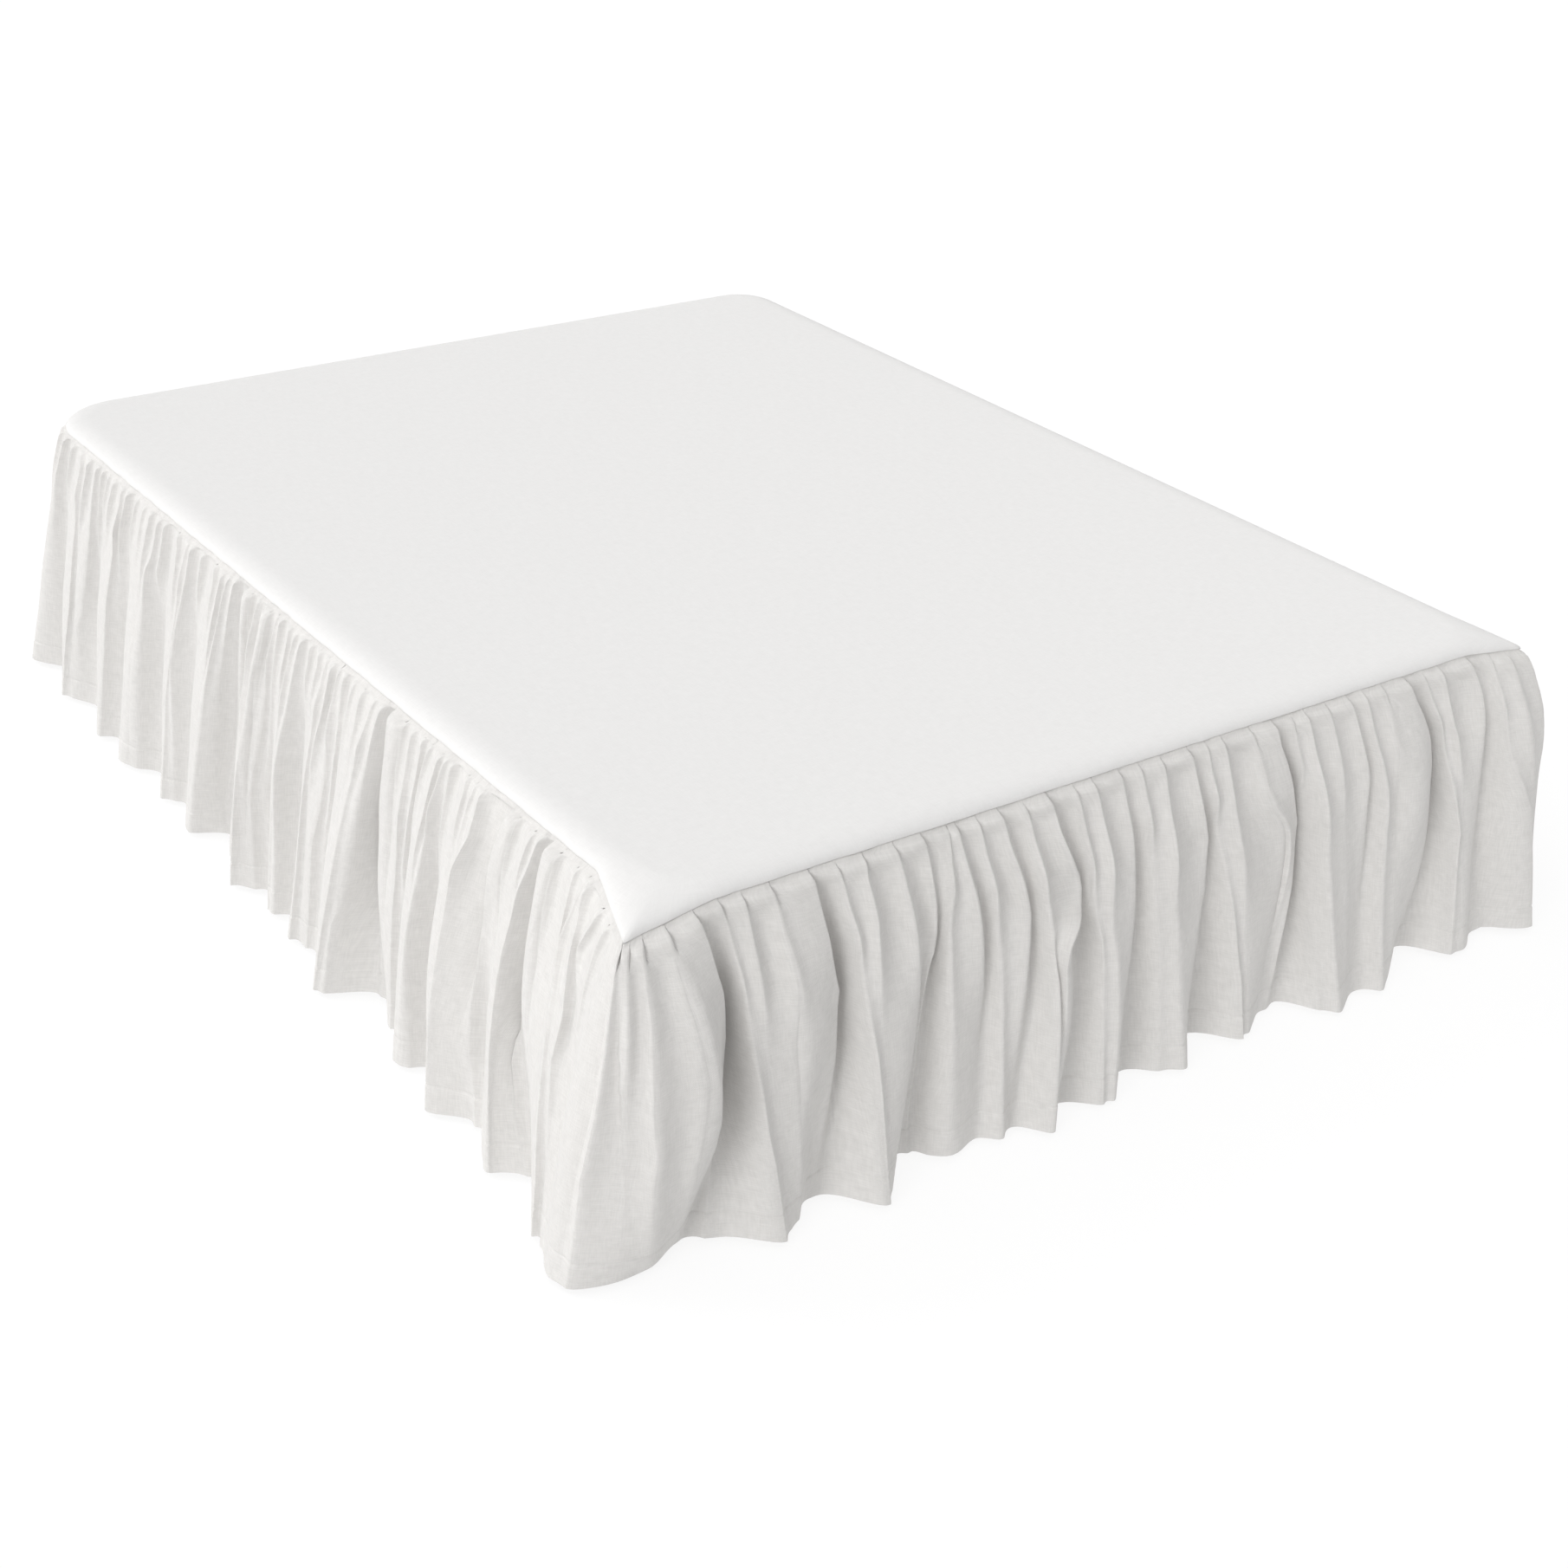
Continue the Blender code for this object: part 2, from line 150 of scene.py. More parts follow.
ends = rim(np.array((RUFFLE_START, FOOT_LEFT, FOOT_RIGHT, RUFFLE_END)))[0]
print("rim from", ends[0].round(3), "by way of", ends[1].round(3), ends[2].round(3), "to", ends[3].round(3))

# %% [markdown]
# ## The main folds
#
# Gathered cloth falls into folds that grow towards the hem, because the small pleats at the stitching
# join two and three at a time. Each fold is a row of a table: the valley before it and its crest, each
# with its place at the seam, a third of the way down and at the hem, and how far it stands out there.
# Between valley and crest the cloth follows half a cosine wave. From about half a hand below the seam
# these are the solid's own folds; above that they are evened out, and the pleats take their place.

# %% The fold tables
BEND_LEVEL = 0.3
# the power of depth with which a line stands out: a valley's, a crest's, and both near the head's end
VALLEY_OPENING, CREST_OPENING, HEAD_OPENING, HEAD_REACH = 0.8, 0.53, 0.75, 0.15
VALLEY_PINCH = 1.3
# the share of a fold that is left at the seam, and the depths between which it grows to the whole
EVEN_SHARE, EVEN_FROM, EVEN_TO_FOOT, EVEN_TO_LEFT = 0.35, 0.02, 0.17, 0.28


def smooth(low, high, value):
    """0 below low, 1 above high, and t t (3 - 2 t) between."""
    t = np.clip((value - low) / (high - low), 0, 1)
    return t * t * (3 - 2 * t)


# valley: seam, bend, hem, out;  crest: seam, bend, hem, out
FOOT_FOLDS = (
    (0.088, 0.088, 0.030, 0.038, 0.130, 0.125, 0.135, 0.107),
    (0.238, 0.258, 0.213, 0.053, 0.300, 0.300, 0.290, 0.115),
    (0.410, 0.412, 0.370, 0.045, 0.440, 0.432, 0.430, 0.087),
    (0.458, 0.487, 0.475, 0.076, 0.510, 0.515, 0.505, 0.087),
    (0.537, 0.563, 0.530, 0.083, 0.585, 0.592, 0.575, 0.112),
    (0.618, 0.651, 0.625, 0.070, 0.680, 0.690, 0.690, 0.102),
    (0.748, 0.762, 0.750, 0.061, 0.800, 0.805, 0.835, 0.097),
    (0.868, 0.897, 0.895, 0.043, 0.940, 0.945, 0.965, 0.086),
    (1.040, 1.071, 1.065, 0.038, 1.100, 1.105, 1.140, 0.115),
    (1.190, 1.205, 1.195, 0.090, 1.245, 1.250, 1.240, 0.102),
    (1.315, 1.358, 1.345, 0.036, 1.395, 1.400, 1.430, 0.097),
    (1.460, 1.462, 1.494, 0.068, 1.505, 1.508, 1.515, 0.133),
)
# The left side, measured from the foot towards the head
LEFT_FOLDS = (
    (0.036, 0.042, 0.040, 0.136, 0.160, 0.130, 0.056, 0.128),
    (0.235, 0.243, 0.166, 0.071, 0.268, 0.262, 0.222, 0.113),
    (0.318, 0.325, 0.318, 0.074, 0.425, 0.420, 0.372, 0.116),
    (0.480, 0.482, 0.460, 0.074, 0.520, 0.518, 0.508, 0.108),
    (0.560, 0.560, 0.550, 0.068, 0.612, 0.608, 0.588, 0.072),
    (0.665, 0.675, 0.668, 0.041, 0.725, 0.722, 0.730, 0.114),
    (0.798, 0.800, 0.834, 0.074, 0.862, 0.860, 0.885, 0.084),
    (0.920, 0.930, 0.938, 0.062, 0.980, 0.974, 0.970, 0.084),
    (1.020, 1.026, 1.025, 0.061, 1.085, 1.082, 1.080, 0.096),
    (1.120, 1.130, 1.125, 0.052, 1.155, 1.156, 1.155, 0.055),
    (1.185, 1.194, 1.228, 0.036, 1.238, 1.238, 1.275, 0.092),
    (1.318, 1.326, 1.368, 0.058, 1.385, 1.388, 1.405, 0.079),
    (1.455, 1.466, 1.480, 0.051, 1.520, 1.530, 1.565, 0.090),
    (1.600, 1.610, 1.640, 0.061, 1.655, 1.660, 1.680, 0.082),
    (1.735, 1.748, 1.785, 0.046, 1.815, 1.825, 1.860, 0.076),
    (1.900, 1.915, 1.960, 0.044, 1.970, 1.980, 2.000, 0.108),
    (2.050, 2.055, 2.062, 0.056, 2.095, 2.098, 2.105, 0.076),
)
CORNER_CREST = (-0.010, -0.014, -0.024, 0.166)


def right_folds():
    """The right side's folds, from the foot: widths and depths that wander, as on the left."""
    rows = []
    valley, number = 0.070, 0
    while valley < BED_LENGTH + 0.06:
        width = 0.112 + 0.030 * math.sin(2.4 * number + 0.5)
        crest = valley + width * (0.50 + 0.10 * math.sin(1.3 * number))
        valley_out = 0.062 + 0.014 * math.cos(2.9 * number)
        crest_out = 0.101 + 0.014 * math.sin(1.7 * number + 1.0)
        lean = 0.014 * math.sin(1.9 * number)
        rows.append((
            valley - lean, valley - 0.6 * lean, valley, valley_out,
            crest - lean, crest - 0.6 * lean, crest, crest_out,
        ))
        valley += width
        number += 1
    return rows


def fold_lines():
    """Every valley and crest as a row of seam u, bend u, hem u, out and opening, in order along u."""
    lines = [CORNER_CREST + (CREST_OPENING,)]
    for row in LEFT_FOLDS:
        at_head = row[0] > BED_LENGTH - HEAD_REACH
        valley, crest = (HEAD_OPENING,) * 2 if at_head else (VALLEY_OPENING, CREST_OPENING)
        lines.append((-row[0], -row[1], -row[2], row[3], valley))
        lines.append((-row[4], -row[5], -row[6], row[7], crest))
    for start, rows in ((FOOT_LEFT, FOOT_FOLDS), (FOOT_RIGHT, right_folds())):
        for row in rows:
            lines.append((start + row[0], start + row[1], start + row[2], row[3], VALLEY_OPENING))
            lines.append((start + row[4], start + row[5], start + row[6], row[7], CREST_OPENING))
    return np.array(sorted(lines, key=lambda line: line[2]))


FOLDS = fold_lines()


def main_folds(u, v):
    """How far the main folds stand out on a grid of u, one row for each level v. A fold's place is a
    quadratic through its seam, bend and hem places; its out is out times v to the power opening."""
    seam, bend, hem, out, opening = FOLDS.T
    b = BEND_LEVEL
    middle = (bend - (1 - b) ** 2 * seam - b * b * hem) / (2 * b * (1 - b))
    result = np.empty_like(u)
    for row, level in enumerate(v):
        places = (1 - level) ** 2 * seam + 2 * level * (1 - level) * middle + level**2 * hem
        places = np.maximum.accumulate(places + 1e-6 * np.arange(len(places)))
        outs = out * level**opening
        k = np.clip(np.searchsorted(places, u[row]), 1, len(places) - 1)
        share = np.clip((u[row] - places[k - 1]) / (places[k] - places[k - 1]), 0, 1)
        power = 1 + VALLEY_PINCH * (1 - level)
        share = np.where(outs[k] < outs[k - 1], share**power, 1 - (1 - share) ** power)
        folded = outs[k - 1] + (outs[k] - outs[k - 1]) * (1 - np.cos(np.pi * share)) / 2
        between = (places[1:] + places[:-1]) / 2
        even = np.interp(u[row], between, (outs[1:] + outs[:-1]) / 2)
        even_to = np.where(u[row] < FOOT_LEFT, EVEN_TO_LEFT, EVEN_TO_FOOT)
        apart = EVEN_SHARE + (1 - EVEN_SHARE) * smooth(EVEN_FROM, even_to, DROP * level)
        result[row] = even + (folded - even) * apart
    return result


print(len(FOLDS), "fold lines, valleys and crests")

# %% [markdown]
# ## Pleats and the creases below them
#
# At the stitching the strip is pushed together into pleats that lap one way, like roof tiles: each shows
# a slanting face that ends in a folded edge, and past the edge the cloth turns back under it. Below the
# seam an edge wanders, kinks where the cloth buckles, and dies away or becomes the ridge of a larger
# fold. So every pleat is a line drawn down the cloth: how high its edge stands, how deep it reaches, how
# high a soft ridge goes on below it, and its place at a few depths. Heights are in millimetres, depths
# and places in centimetres, as a maker reads them off a tape.

# %% The pleat lines
# edge height, depth it reaches, ridge height, place at the seam and at the hem, then pairs of depth and
# place between them
FOOT_LINES = (
    (7, 30, 3, -0.3, -1.8, 3, -0.6, 10, -0.7, 20, -1.0, 25, -1.4),
    (6, 16, 0, 0.5, -0.4, 9, 0.5),
    (8, 30, 3, 1.6, 0.8, 8, 1.6, 15, 1.4),
    (9, 31, 2, 3.7, 2.4, 3, 3.5, 7, 3.5, 12, 3.6, 18, 3.6, 25, 3.0),
    (10, 42, 2, 6.5, 4.7, 3, 6.8, 7, 7.0, 10, 7.5, 14, 8.0, 17, 8.2, 20, 7.8, 25, 7.2, 30, 6.4, 35, 5.6),
    (6, 12, 6, 9.0, 13.0, 3, 9.4, 8, 9.7, 17, 10.1, 25, 10.7, 30, 11.2, 35, 12.0),
    (6, 14, 0, 12.3, 15.0, 7, 12.2, 12, 12.4, 20, 12.8),
    (8, 14, 3, 16.5, 17.2, 5, 16.6, 10, 17.0, 13, 17.2, 20, 16.8),
    (10, 38, 0, 22.5, 21.2, 5, 22.8, 10, 23.4, 13, 24.1, 16, 24.9, 18, 24.5, 25, 24.0, 30, 23.4, 35, 22.4),
    (6, 10, 6, 26.5, 28.8, 5, 26.8, 13, 27.3, 20, 27.8, 25, 28.2, 30, 28.6),
    (8, 14, 0, 30.8, 31.0, 2, 30.2, 5, 30.3, 7, 30.3, 9, 29.9, 12, 29.8),
    (7, 22, 0, 35.6, 35.6, 5, 35.9, 10, 36.2, 15, 36.5, 18, 37.0, 21, 37.2),
    (9, 18, 4, 40.2, 37.6, 5, 40.4, 13, 40.8, 16, 40.4, 17, 39.6, 20, 38.9, 24, 38.5, 28, 38.0, 36, 37.2),
    (4, 8, 5, 44.4, 39.6, 3, 44.0, 7, 43.3, 10, 42.8, 13, 42.3, 18, 42.0, 26, 41.5, 34, 40.6, 38, 39.9),
    (9, 22, 0, 45.8, 46.5, 2, 45.6, 6, 46.0, 10, 46.7, 14, 47.4, 20, 48.0, 24, 48.3),
    (6, 10, 5, 49.1, 50.6, 4, 49.3, 8, 49.6, 11, 49.9, 15, 50.2, 27, 50.5),
    (9, 27, 0, 52.9, 53.5, 4, 53.1, 7, 53.8, 10, 54.6, 12.5, 55.3, 14, 55.6, 17, 55.3, 20, 54.9, 26, 54.1),
    (6, 10, 6, 57.0, 57.5, 4, 57.1, 8, 57.3, 12, 57.6, 16, 58.0, 24, 58.6, 30, 58.7, 36, 58.3),
    (10, 26, 0, 61.2, 61.0, 4, 61.3, 6, 61.8, 9, 62.9, 11, 64.1, 13, 64.6, 15, 64.3, 17, 61.6, 19, 60.2,
     22, 59.5),
    (6, 12, 5, 65.8, 67.5, 8, 66.0, 12, 66.2, 15, 66.5, 18, 66.9, 21, 67.5),
    (7, 12, 5, 69.1, 69.6, 10, 69.1, 20, 69.3, 24, 69.7, 32, 70.1),
    (7, 26, 0, 74.0, 75.0, 4, 74.0, 8, 74.3, 15, 74.7, 20, 74.9, 26, 74.4),
    (5, 8, 4, 77.6, 79.6, 7, 77.5, 12, 77.7, 22, 78.2, 30, 79.0),
    (6, 14, 5, 81.5, 83.4, 8, 81.1, 16, 81.1, 25, 81.6, 33, 82.0, 41, 82.7),
    (10, 25, 0, 86.6, 88.0, 4, 86.9, 8, 87.3, 11, 88.1, 13, 88.9, 18, 88.9, 22, 89.4, 24, 88.8, 26, 87.6),
    (5, 8, 6, 90.0, 95.8, 6, 90.1, 12, 90.6, 15, 91.3, 18, 92.0, 22, 92.6, 29, 93.7, 33, 94.2, 37, 94.9),
    (6, 20, 2, 93.0, 97.6, 5, 93.2, 10, 93.4, 14, 93.9, 18, 94.7, 22, 95.2),
    (8, 24, 0, 98.4, 101.0, 4, 98.8, 8, 99.1, 11, 100.2, 13, 101.8, 15, 103.2, 17, 104.2, 20, 104.8,
     25, 104.6),
    (10, 42, 0, 102.9, 104.8, 3, 103.2, 5, 103.8, 8, 104.6, 11, 105.5, 14, 106.5, 15.5, 107.0, 18, 106.8,
     26, 106.5, 29, 106.0, 32, 105.5, 36, 104.9),
    (4, 8, 4, 106.5, 111.0, 4, 106.6, 8, 106.9, 12, 107.3, 16, 107.9, 23, 108.6, 28, 109.2, 33, 109.8),
    (7, 14, 4, 109.2, 113.2, 5, 109.1, 10, 109.4, 17, 109.9, 22, 110.3, 27, 110.8, 32, 111.5),
    (5, 12, 0, 113.5, 117.0, 9, 114.0),
    (9, 22, 0, 118.0, 120.5, 4, 118.4, 7, 118.8, 10, 119.5, 12, 119.9, 16, 119.8, 20, 119.9),
    (6, 18, 5, 121.2, 123.2, 5, 121.4, 10, 122.2, 14, 122.6, 18, 122.7, 30, 123.0),
    (6, 12, 0, 125.2, 127.0, 6, 125.4, 10, 126.0),
    (10, 34, 0, 130.0, 133.6, 3, 131.0, 5, 132.0, 8, 133.2, 11, 134.2, 13.5, 135.1, 15, 135.3, 20, 135.2,
     25, 135.1, 30, 134.7, 36, 134.2),
    (4, 8, 6, 133.8, 140.2, 3, 134.6, 6, 135.4, 9, 136.2, 12, 136.9, 18, 138.2, 21, 138.8, 25, 139.4),
    (7, 14, 0, 137.5, 143.0, 4, 137.7, 8, 138.0, 10, 138.6, 14, 139.3, 18, 140.5),
    (8, 22, 0, 143.6, 146.2, 3, 144.4, 5, 144.8, 12, 145.0, 20, 145.3),
    (4, 8, 4, 147.2, 151.2, 6, 147.6, 12, 148.1, 16, 148.6, 20, 149.3, 25, 150.0),
    (6, 16, 0, 149.6, 152.4, 8, 149.8, 14, 150.0, 20, 150.6),
    (5, 14, 0, 152.0, 153.6, 8, 152.3, 20, 152.6),
    (6, 24, 3, 154.2, 154.6, 12, 154.4, 20, 154.2, 28, 153.9),
    (8, 30, 0, 157.0, 156.5, 20, 157.0, 30, 156.6),
)
# the same for the left side, from the foot towards the head
LEFT_LINES = (
    (6, 16, 0, 4.0, 3.4, 10, 4.4, 20, 4.4),
    (7, 8, 0, 6.8, 4.3, 2, 7.1, 4, 7.7, 6, 8.4, 8, 7.8, 12, 6.4, 15, 6.2),
    (9, 22, 0, 11.8, 5.2, 1.5, 11.5, 3.5, 9.9, 8, 9.0, 10.5, 8.2, 13, 7.5, 15, 7.3, 18, 7.7, 21, 8.2,
     30, 7.0),
    (5, 10, 5, 13.0, 6.4, 6, 13.3, 8, 13.2, 11, 12.3, 14, 11.5, 18, 10.8, 22, 10.2, 30, 8.8, 38, 7.2),
    (6, 9, 0, 15.8, 10.5, 3, 14.8, 6, 14.1, 10, 14.0),
    (7, 10, 0, 20.0, 14.5, 5, 19.0),
    (10, 42, 0, 22.8, 17.6, 4, 22.2, 8, 21.4, 14, 21.2, 20, 21.8, 25, 22.7, 28, 22.9, 31, 22.5, 38, 20.7),
    (6, 8, 6, 24.9, 21.0, 6, 25.0, 10, 25.3, 13, 25.5, 17, 25.6, 20, 25.4, 24, 25.0, 30, 24.3),
    (7, 8, 0, 26.4, 23.5, 5, 26.5, 10, 26.8),
    (7, 10, 0, 30.8, 27.5, 2, 30.4, 5, 30.6, 10, 31.0),
    (9, 36, 5, 32.6, 31.0, 5, 33.5, 8, 33.8, 16, 33.8, 20, 34.0, 28, 34.2, 36, 33.6),
    (8, 12, 6, 39.6, 38.0, 3, 38.8, 6, 38.7, 8, 39.2, 11, 39.9, 16, 40.1, 20, 40.0, 30, 39.5, 40, 38.6),
    (5, 10, 0, 41.8, 40.0, 5, 41.5, 9, 41.2, 12, 41.4),
    (6, 8, 0, 44.2, 42.5, 2, 43.2, 5, 43.0),
    (8, 14, 0, 48.4, 45.8, 4, 47.7, 8, 47.3, 11, 47.3),
    (6, 8, 6, 50.0, 48.0, 10, 49.8, 20, 49.9, 25, 49.8, 30, 49.5, 34, 49.1),
    (8, 16, 0, 51.4, 50.4, 2, 51.0, 5, 50.9, 9, 50.9, 14, 51.4),
    (6, 14, 0, 54.5, 53.5, 5, 54.8, 10, 54.6, 16, 55.0),
    (8, 20, 0, 57.0, 56.0, 2, 56.3, 5, 56.2, 8, 56.5, 12, 57.0, 16, 57.3, 20, 57.6),
    (7, 14, 4, 59.8, 58.2, 3, 59.4, 8, 59.2, 12, 59.0, 17, 58.8, 27, 58.8),
    (6, 12, 0, 62.4, 61.5, 8, 62.0),
    (10, 44, 0, 66.4, 66.4, 3, 65.8, 6, 65.5, 9, 65.7, 12, 66.3, 15, 66.9, 19, 67.2, 23.5, 67.6, 26, 67.2,
     30, 66.9),
    (7, 20, 4, 68.6, 71.6, 8, 69.0, 15, 69.2, 20, 69.4, 24, 69.7, 28, 70.0, 32, 70.5, 35, 71.2),
    (5, 8, 5, 71.0, 73.4, 10, 71.2, 15, 71.6, 25, 71.8, 30, 72.0, 35, 72.5),
    (6, 10, 0, 74.6, 75.8, 5, 73.6, 10, 73.8),
    (5, 12, 0, 77.6, 79.5, 8, 76.8),
    (8, 24, 0, 80.6, 82.0, 4, 79.8, 8, 79.2, 11, 79.0, 16, 79.6, 22, 80.6, 28, 81.6),
    (5, 10, 4, 82.6, 84.4, 6, 82.3, 10, 82.0, 14, 81.7, 18, 81.8, 22, 82.2, 28, 83.4),
    (9, 17, 0, 84.4, 86.4, 2, 83.8, 5, 83.6, 8, 83.8, 12, 84.6, 15, 85.2),
    (5, 8, 5, 86.6, 88.0, 5, 86.2, 15, 86.6, 25, 87.0, 33, 87.3),
    (6, 9, 0, 89.4, 90.5, 2, 88.4, 6, 88.6),
    (7, 9, 0, 92.2, 93.0, 3, 91.6, 6, 91.8),
    (8, 24, 5, 94.6, 95.8, 5, 94.6, 10, 94.9, 15, 95.3, 20, 95.6, 30, 95.9),
    (6, 12, 3, 96.9, 97.9, 5, 97.0, 15, 97.3),
    (7, 10, 0, 99.4, 100.2, 2, 98.4, 4, 98.2),
    (8, 30, 0, 102.4, 102.4, 3, 102.0, 8, 102.0, 15, 102.4, 22, 103.0, 30, 103.6),
    (4, 8, 4, 103.8, 104.4, 8, 103.9, 15, 104.0, 20, 104.3, 25, 104.8, 30, 105.1),
    (9, 13, 0, 105.8, 106.0, 2, 105.2, 4, 105.0, 8, 105.3, 11, 105.9),
    (7, 40, 3, 107.8, 107.6, 4, 107.1, 8, 107.3, 18, 107.2, 30, 107.3),
    (5, 8, 3, 110.6, 109.8, 3, 110.0, 15, 110.5, 22, 110.7, 32, 110.2),
    (7, 8, 0, 113.2, 112.4, 3, 112.9, 6, 113.1),
    (8, 44, 3, 115.2, 116.0, 8, 114.5, 15, 114.3, 20, 114.0, 25, 114.1, 35, 114.8),
    (7, 30, 2, 119.2, 123.8, 3, 119.4, 8, 119.8, 12, 120.2, 18, 120.8, 25, 121.4, 36, 122.8),
    (6, 18, 2, 121.0, 126.2, 5, 121.3, 10, 121.7, 15, 122.2, 25, 123.2),
    (8, 14, 0, 123.0, 127.6, 2, 122.6, 6, 122.6, 12, 123.2, 20, 124.4),
    (7, 9, 0, 126.4, 129.5, 2, 125.0, 4, 124.8, 10, 125.4),
    (7, 9, 0, 131.4, 133.5, 3, 131.0, 6, 131.0),
    (9, 22, 3, 135.0, 138.0, 3, 134.6, 5, 134.5, 8, 135.0, 12, 135.7, 17, 136.4, 20, 136.8),
    (5, 8, 4, 137.2, 140.0, 5, 137.2, 10, 137.3, 15, 138.0, 22, 138.4, 28, 139.0),
    (7, 11, 0, 141.4, 142.5, 2, 139.8, 5, 139.2, 10, 139.6),
    (8, 12, 0, 146.2, 147.2, 3, 145.9, 6, 146.2, 9, 147.0, 20, 146.8),
    (7, 12, 4, 148.4, 152.0, 4, 148.2, 7, 148.6, 9, 149.4, 15, 149.8, 25, 150.2, 35, 151.0),
    (8, 12, 0, 151.8, 154.0, 2, 151.2, 6, 151.3, 10, 151.5),
    (5, 9, 0, 155.0, 157.5, 8, 154.6),
    (5, 9, 0, 158.5, 161.0),
    (8, 11, 0, 161.8, 164.0, 2, 161.6, 4, 161.7, 7, 162.4),
    (7, 8, 5, 164.4, 166.8, 2, 163.6, 6, 163.4, 10, 163.6, 15, 164.1, 20, 164.6, 28, 165.2),
    (6, 9, 0, 168.0, 170.5),
    (5, 8, 0, 170.8, 173.5),
    (7, 14, 0, 173.6, 177.0, 8, 173.6, 14, 174.6),
    (8, 32, 0, 176.0, 182.0, 3, 175.6, 8, 175.9, 13, 176.5, 17, 177.2, 22, 178.0, 28, 179.3, 31, 180.6),
    (8, 12, 0, 179.2, 184.0, 3, 178.9, 8, 179.7, 12, 180.6),
    (6, 8, 4, 183.6, 186.0, 2, 182.2, 12, 182.1, 20, 182.4, 28, 182.8),
    (6, 9, 0, 187.5, 190.0),
    (8, 18, 0, 191.6, 196.5, 4, 192.0, 7, 192.7, 12, 193.0, 17, 193.8),
    (6, 10, 0, 196.0, 199.5),
    (6, 9, 0, 200.0, 202.5),
    (8, 14, 0, 203.6, 205.0, 8, 202.8),
    (7, 12, 0, 208.0, 208.5, 10, 208.3),
    (7, 14, 0, 211.5, 211.5, 14, 211.2),
)
print(len(FOOT_LINES), "lines on the foot,", len(LEFT_LINES), "on the left side")

# %% [markdown]
# The cloth will be a grid of points. Its rows are depths below the seam, close together where it is
# stitched and where the hem is turned. Each line of a table gives every row a place, a height and how far
# the pleat is lapped there: it is low at the stitching, stands up just below, opens as it hangs and dies
# away past its reach, where the soft ridge takes over. The side that nobody has drawn gets its lines from
# a random generator with a fixed seed, so that it comes out the same each time.

# %% Levels down the cloth
# depths in metres: close together at the stitching and at the hem, which is a turned edge of HEM_LEVEL
HEM_LEVEL = 0.039
LEVELS = np.concatenate((
    (0, 0.0015, 0.003, 0.005, 0.008, 0.012, 0.017),
    np.linspace(0.023, DROP - HEM_LEVEL - 0.004, 56),
    DROP - HEM_LEVEL + np.array((-0.0015, 0, 0.0015, 0.004)),
    DROP - HEM_LEVEL + np.array((0.012, 0.020, 0.028, 0.034)),
    (DROP - 0.0015, DROP),
))
V = LEVELS / DROP
print(len(LEVELS), "levels from the seam to the hem")

# %% From a table to lines
# a pleat's height at the stitching, the depth where it is whole, and the depths between which it opens
SEAM_SHARE, WHOLE_DEPTH, OPEN_DEPTHS = 0.15, 0.010, (0.01, 0.10)
# shares of its reach between which a pleat dies away, and between which its ridge grows
FADE, GROWTH = (0.5, 1.6), (0.4, 1.0)
# a pleat that reaches more than LONG_REACH centimetres stays lapped for a share of its reach, any other
# one for a share of the side's lap depth
LONG_REACH, LONG_LAP, SHORT_LAP = 33, (0.45, 1.0), (0.4, 1.4)
# the hidden side: its first line, and the mean step from one line to the next
RIGHT_FIRST, RIGHT_PITCH = 7.5, 4.25
rng = np.random.default_rng(11)


def line_places(rows, start, lap_depth, pleat_scale, opening, ridge_scale):
    """Places along u (levels by lines), heights, and how far each line is lapped, from a table's lines.
    A pleat's height grows by the opening below the seam and dies away past its reach, and the ridge's
    height grows there. Both have their own scale, in millimetres of cloth to a millimetre of the table."""
    places, heights, laps = [], [], []
    for edge, reach, ridge, seam, hem, *stops in rows:
        depth, place = np.array((0, *stops[0::2], 100 * DROP)), np.array((seam, *stops[1::2], hem))
        places.append(start + np.interp(LEVELS, depth * 0.01, place * 0.01))
        reached = LEVELS / (reach * 0.01)
        window = SEAM_SHARE + (1 - SEAM_SHARE) * smooth(0, WHOLE_DEPTH, LEVELS)
        window = window * (1 + opening * smooth(*OPEN_DEPTHS, LEVELS)) * (1 - smooth(*FADE, reached))
        below = ridge * smooth(*GROWTH, reached)
        heights.append(0.001 * (pleat_scale * edge * window + ridge_scale * below))
        lapped, ends = (reached, LONG_LAP) if reach > LONG_REACH else (LEVELS / lap_depth, SHORT_LAP)
        laps.append(1 - smooth(*ends, lapped))
    return np.array(places).T, np.array(heights).T, np.array(laps).T


def right_lines():
    """The hidden side's lines: an even pitch that wanders a little, each with a kink at 14 cm."""
    rows = []
    place = RIGHT_FIRST
    while place < (RUFFLE_END - FOOT_RIGHT) * 100 - 3:
        edge, reach = rng.uniform(6, 10), rng.choice((14, 16, 22, 30))
        lean, kink = rng.uniform(-1.5, 1.5), rng.uniform(0, 1)
        ridge = rng.choice((0, 0, 3, 5))
        rows.append((edge, reach, ridge, place, place + lean, 14, place + kink, 20, place))
        place += RIGHT_PITCH * rng.uniform(0.8, 1.2)
    return rows


left = line_places(LEFT_LINES, 0, lap_depth=0.004, pleat_scale=2.0, opening=0, ridge_scale=2.4)
ahead = line_places(FOOT_LINES, 0, lap_depth=0.02, pleat_scale=2.0, opening=1.0, ridge_scale=3.2)
behind = line_places(right_lines(), FOOT_RIGHT, lap_depth=0.04, pleat_scale=2.2, opening=0.4,
                     ridge_scale=2.2)
print("lines:", left[0].shape[1], "on the left,", ahead[0].shape[1], "on the foot,", behind[0].shape[1],
      "on the right")

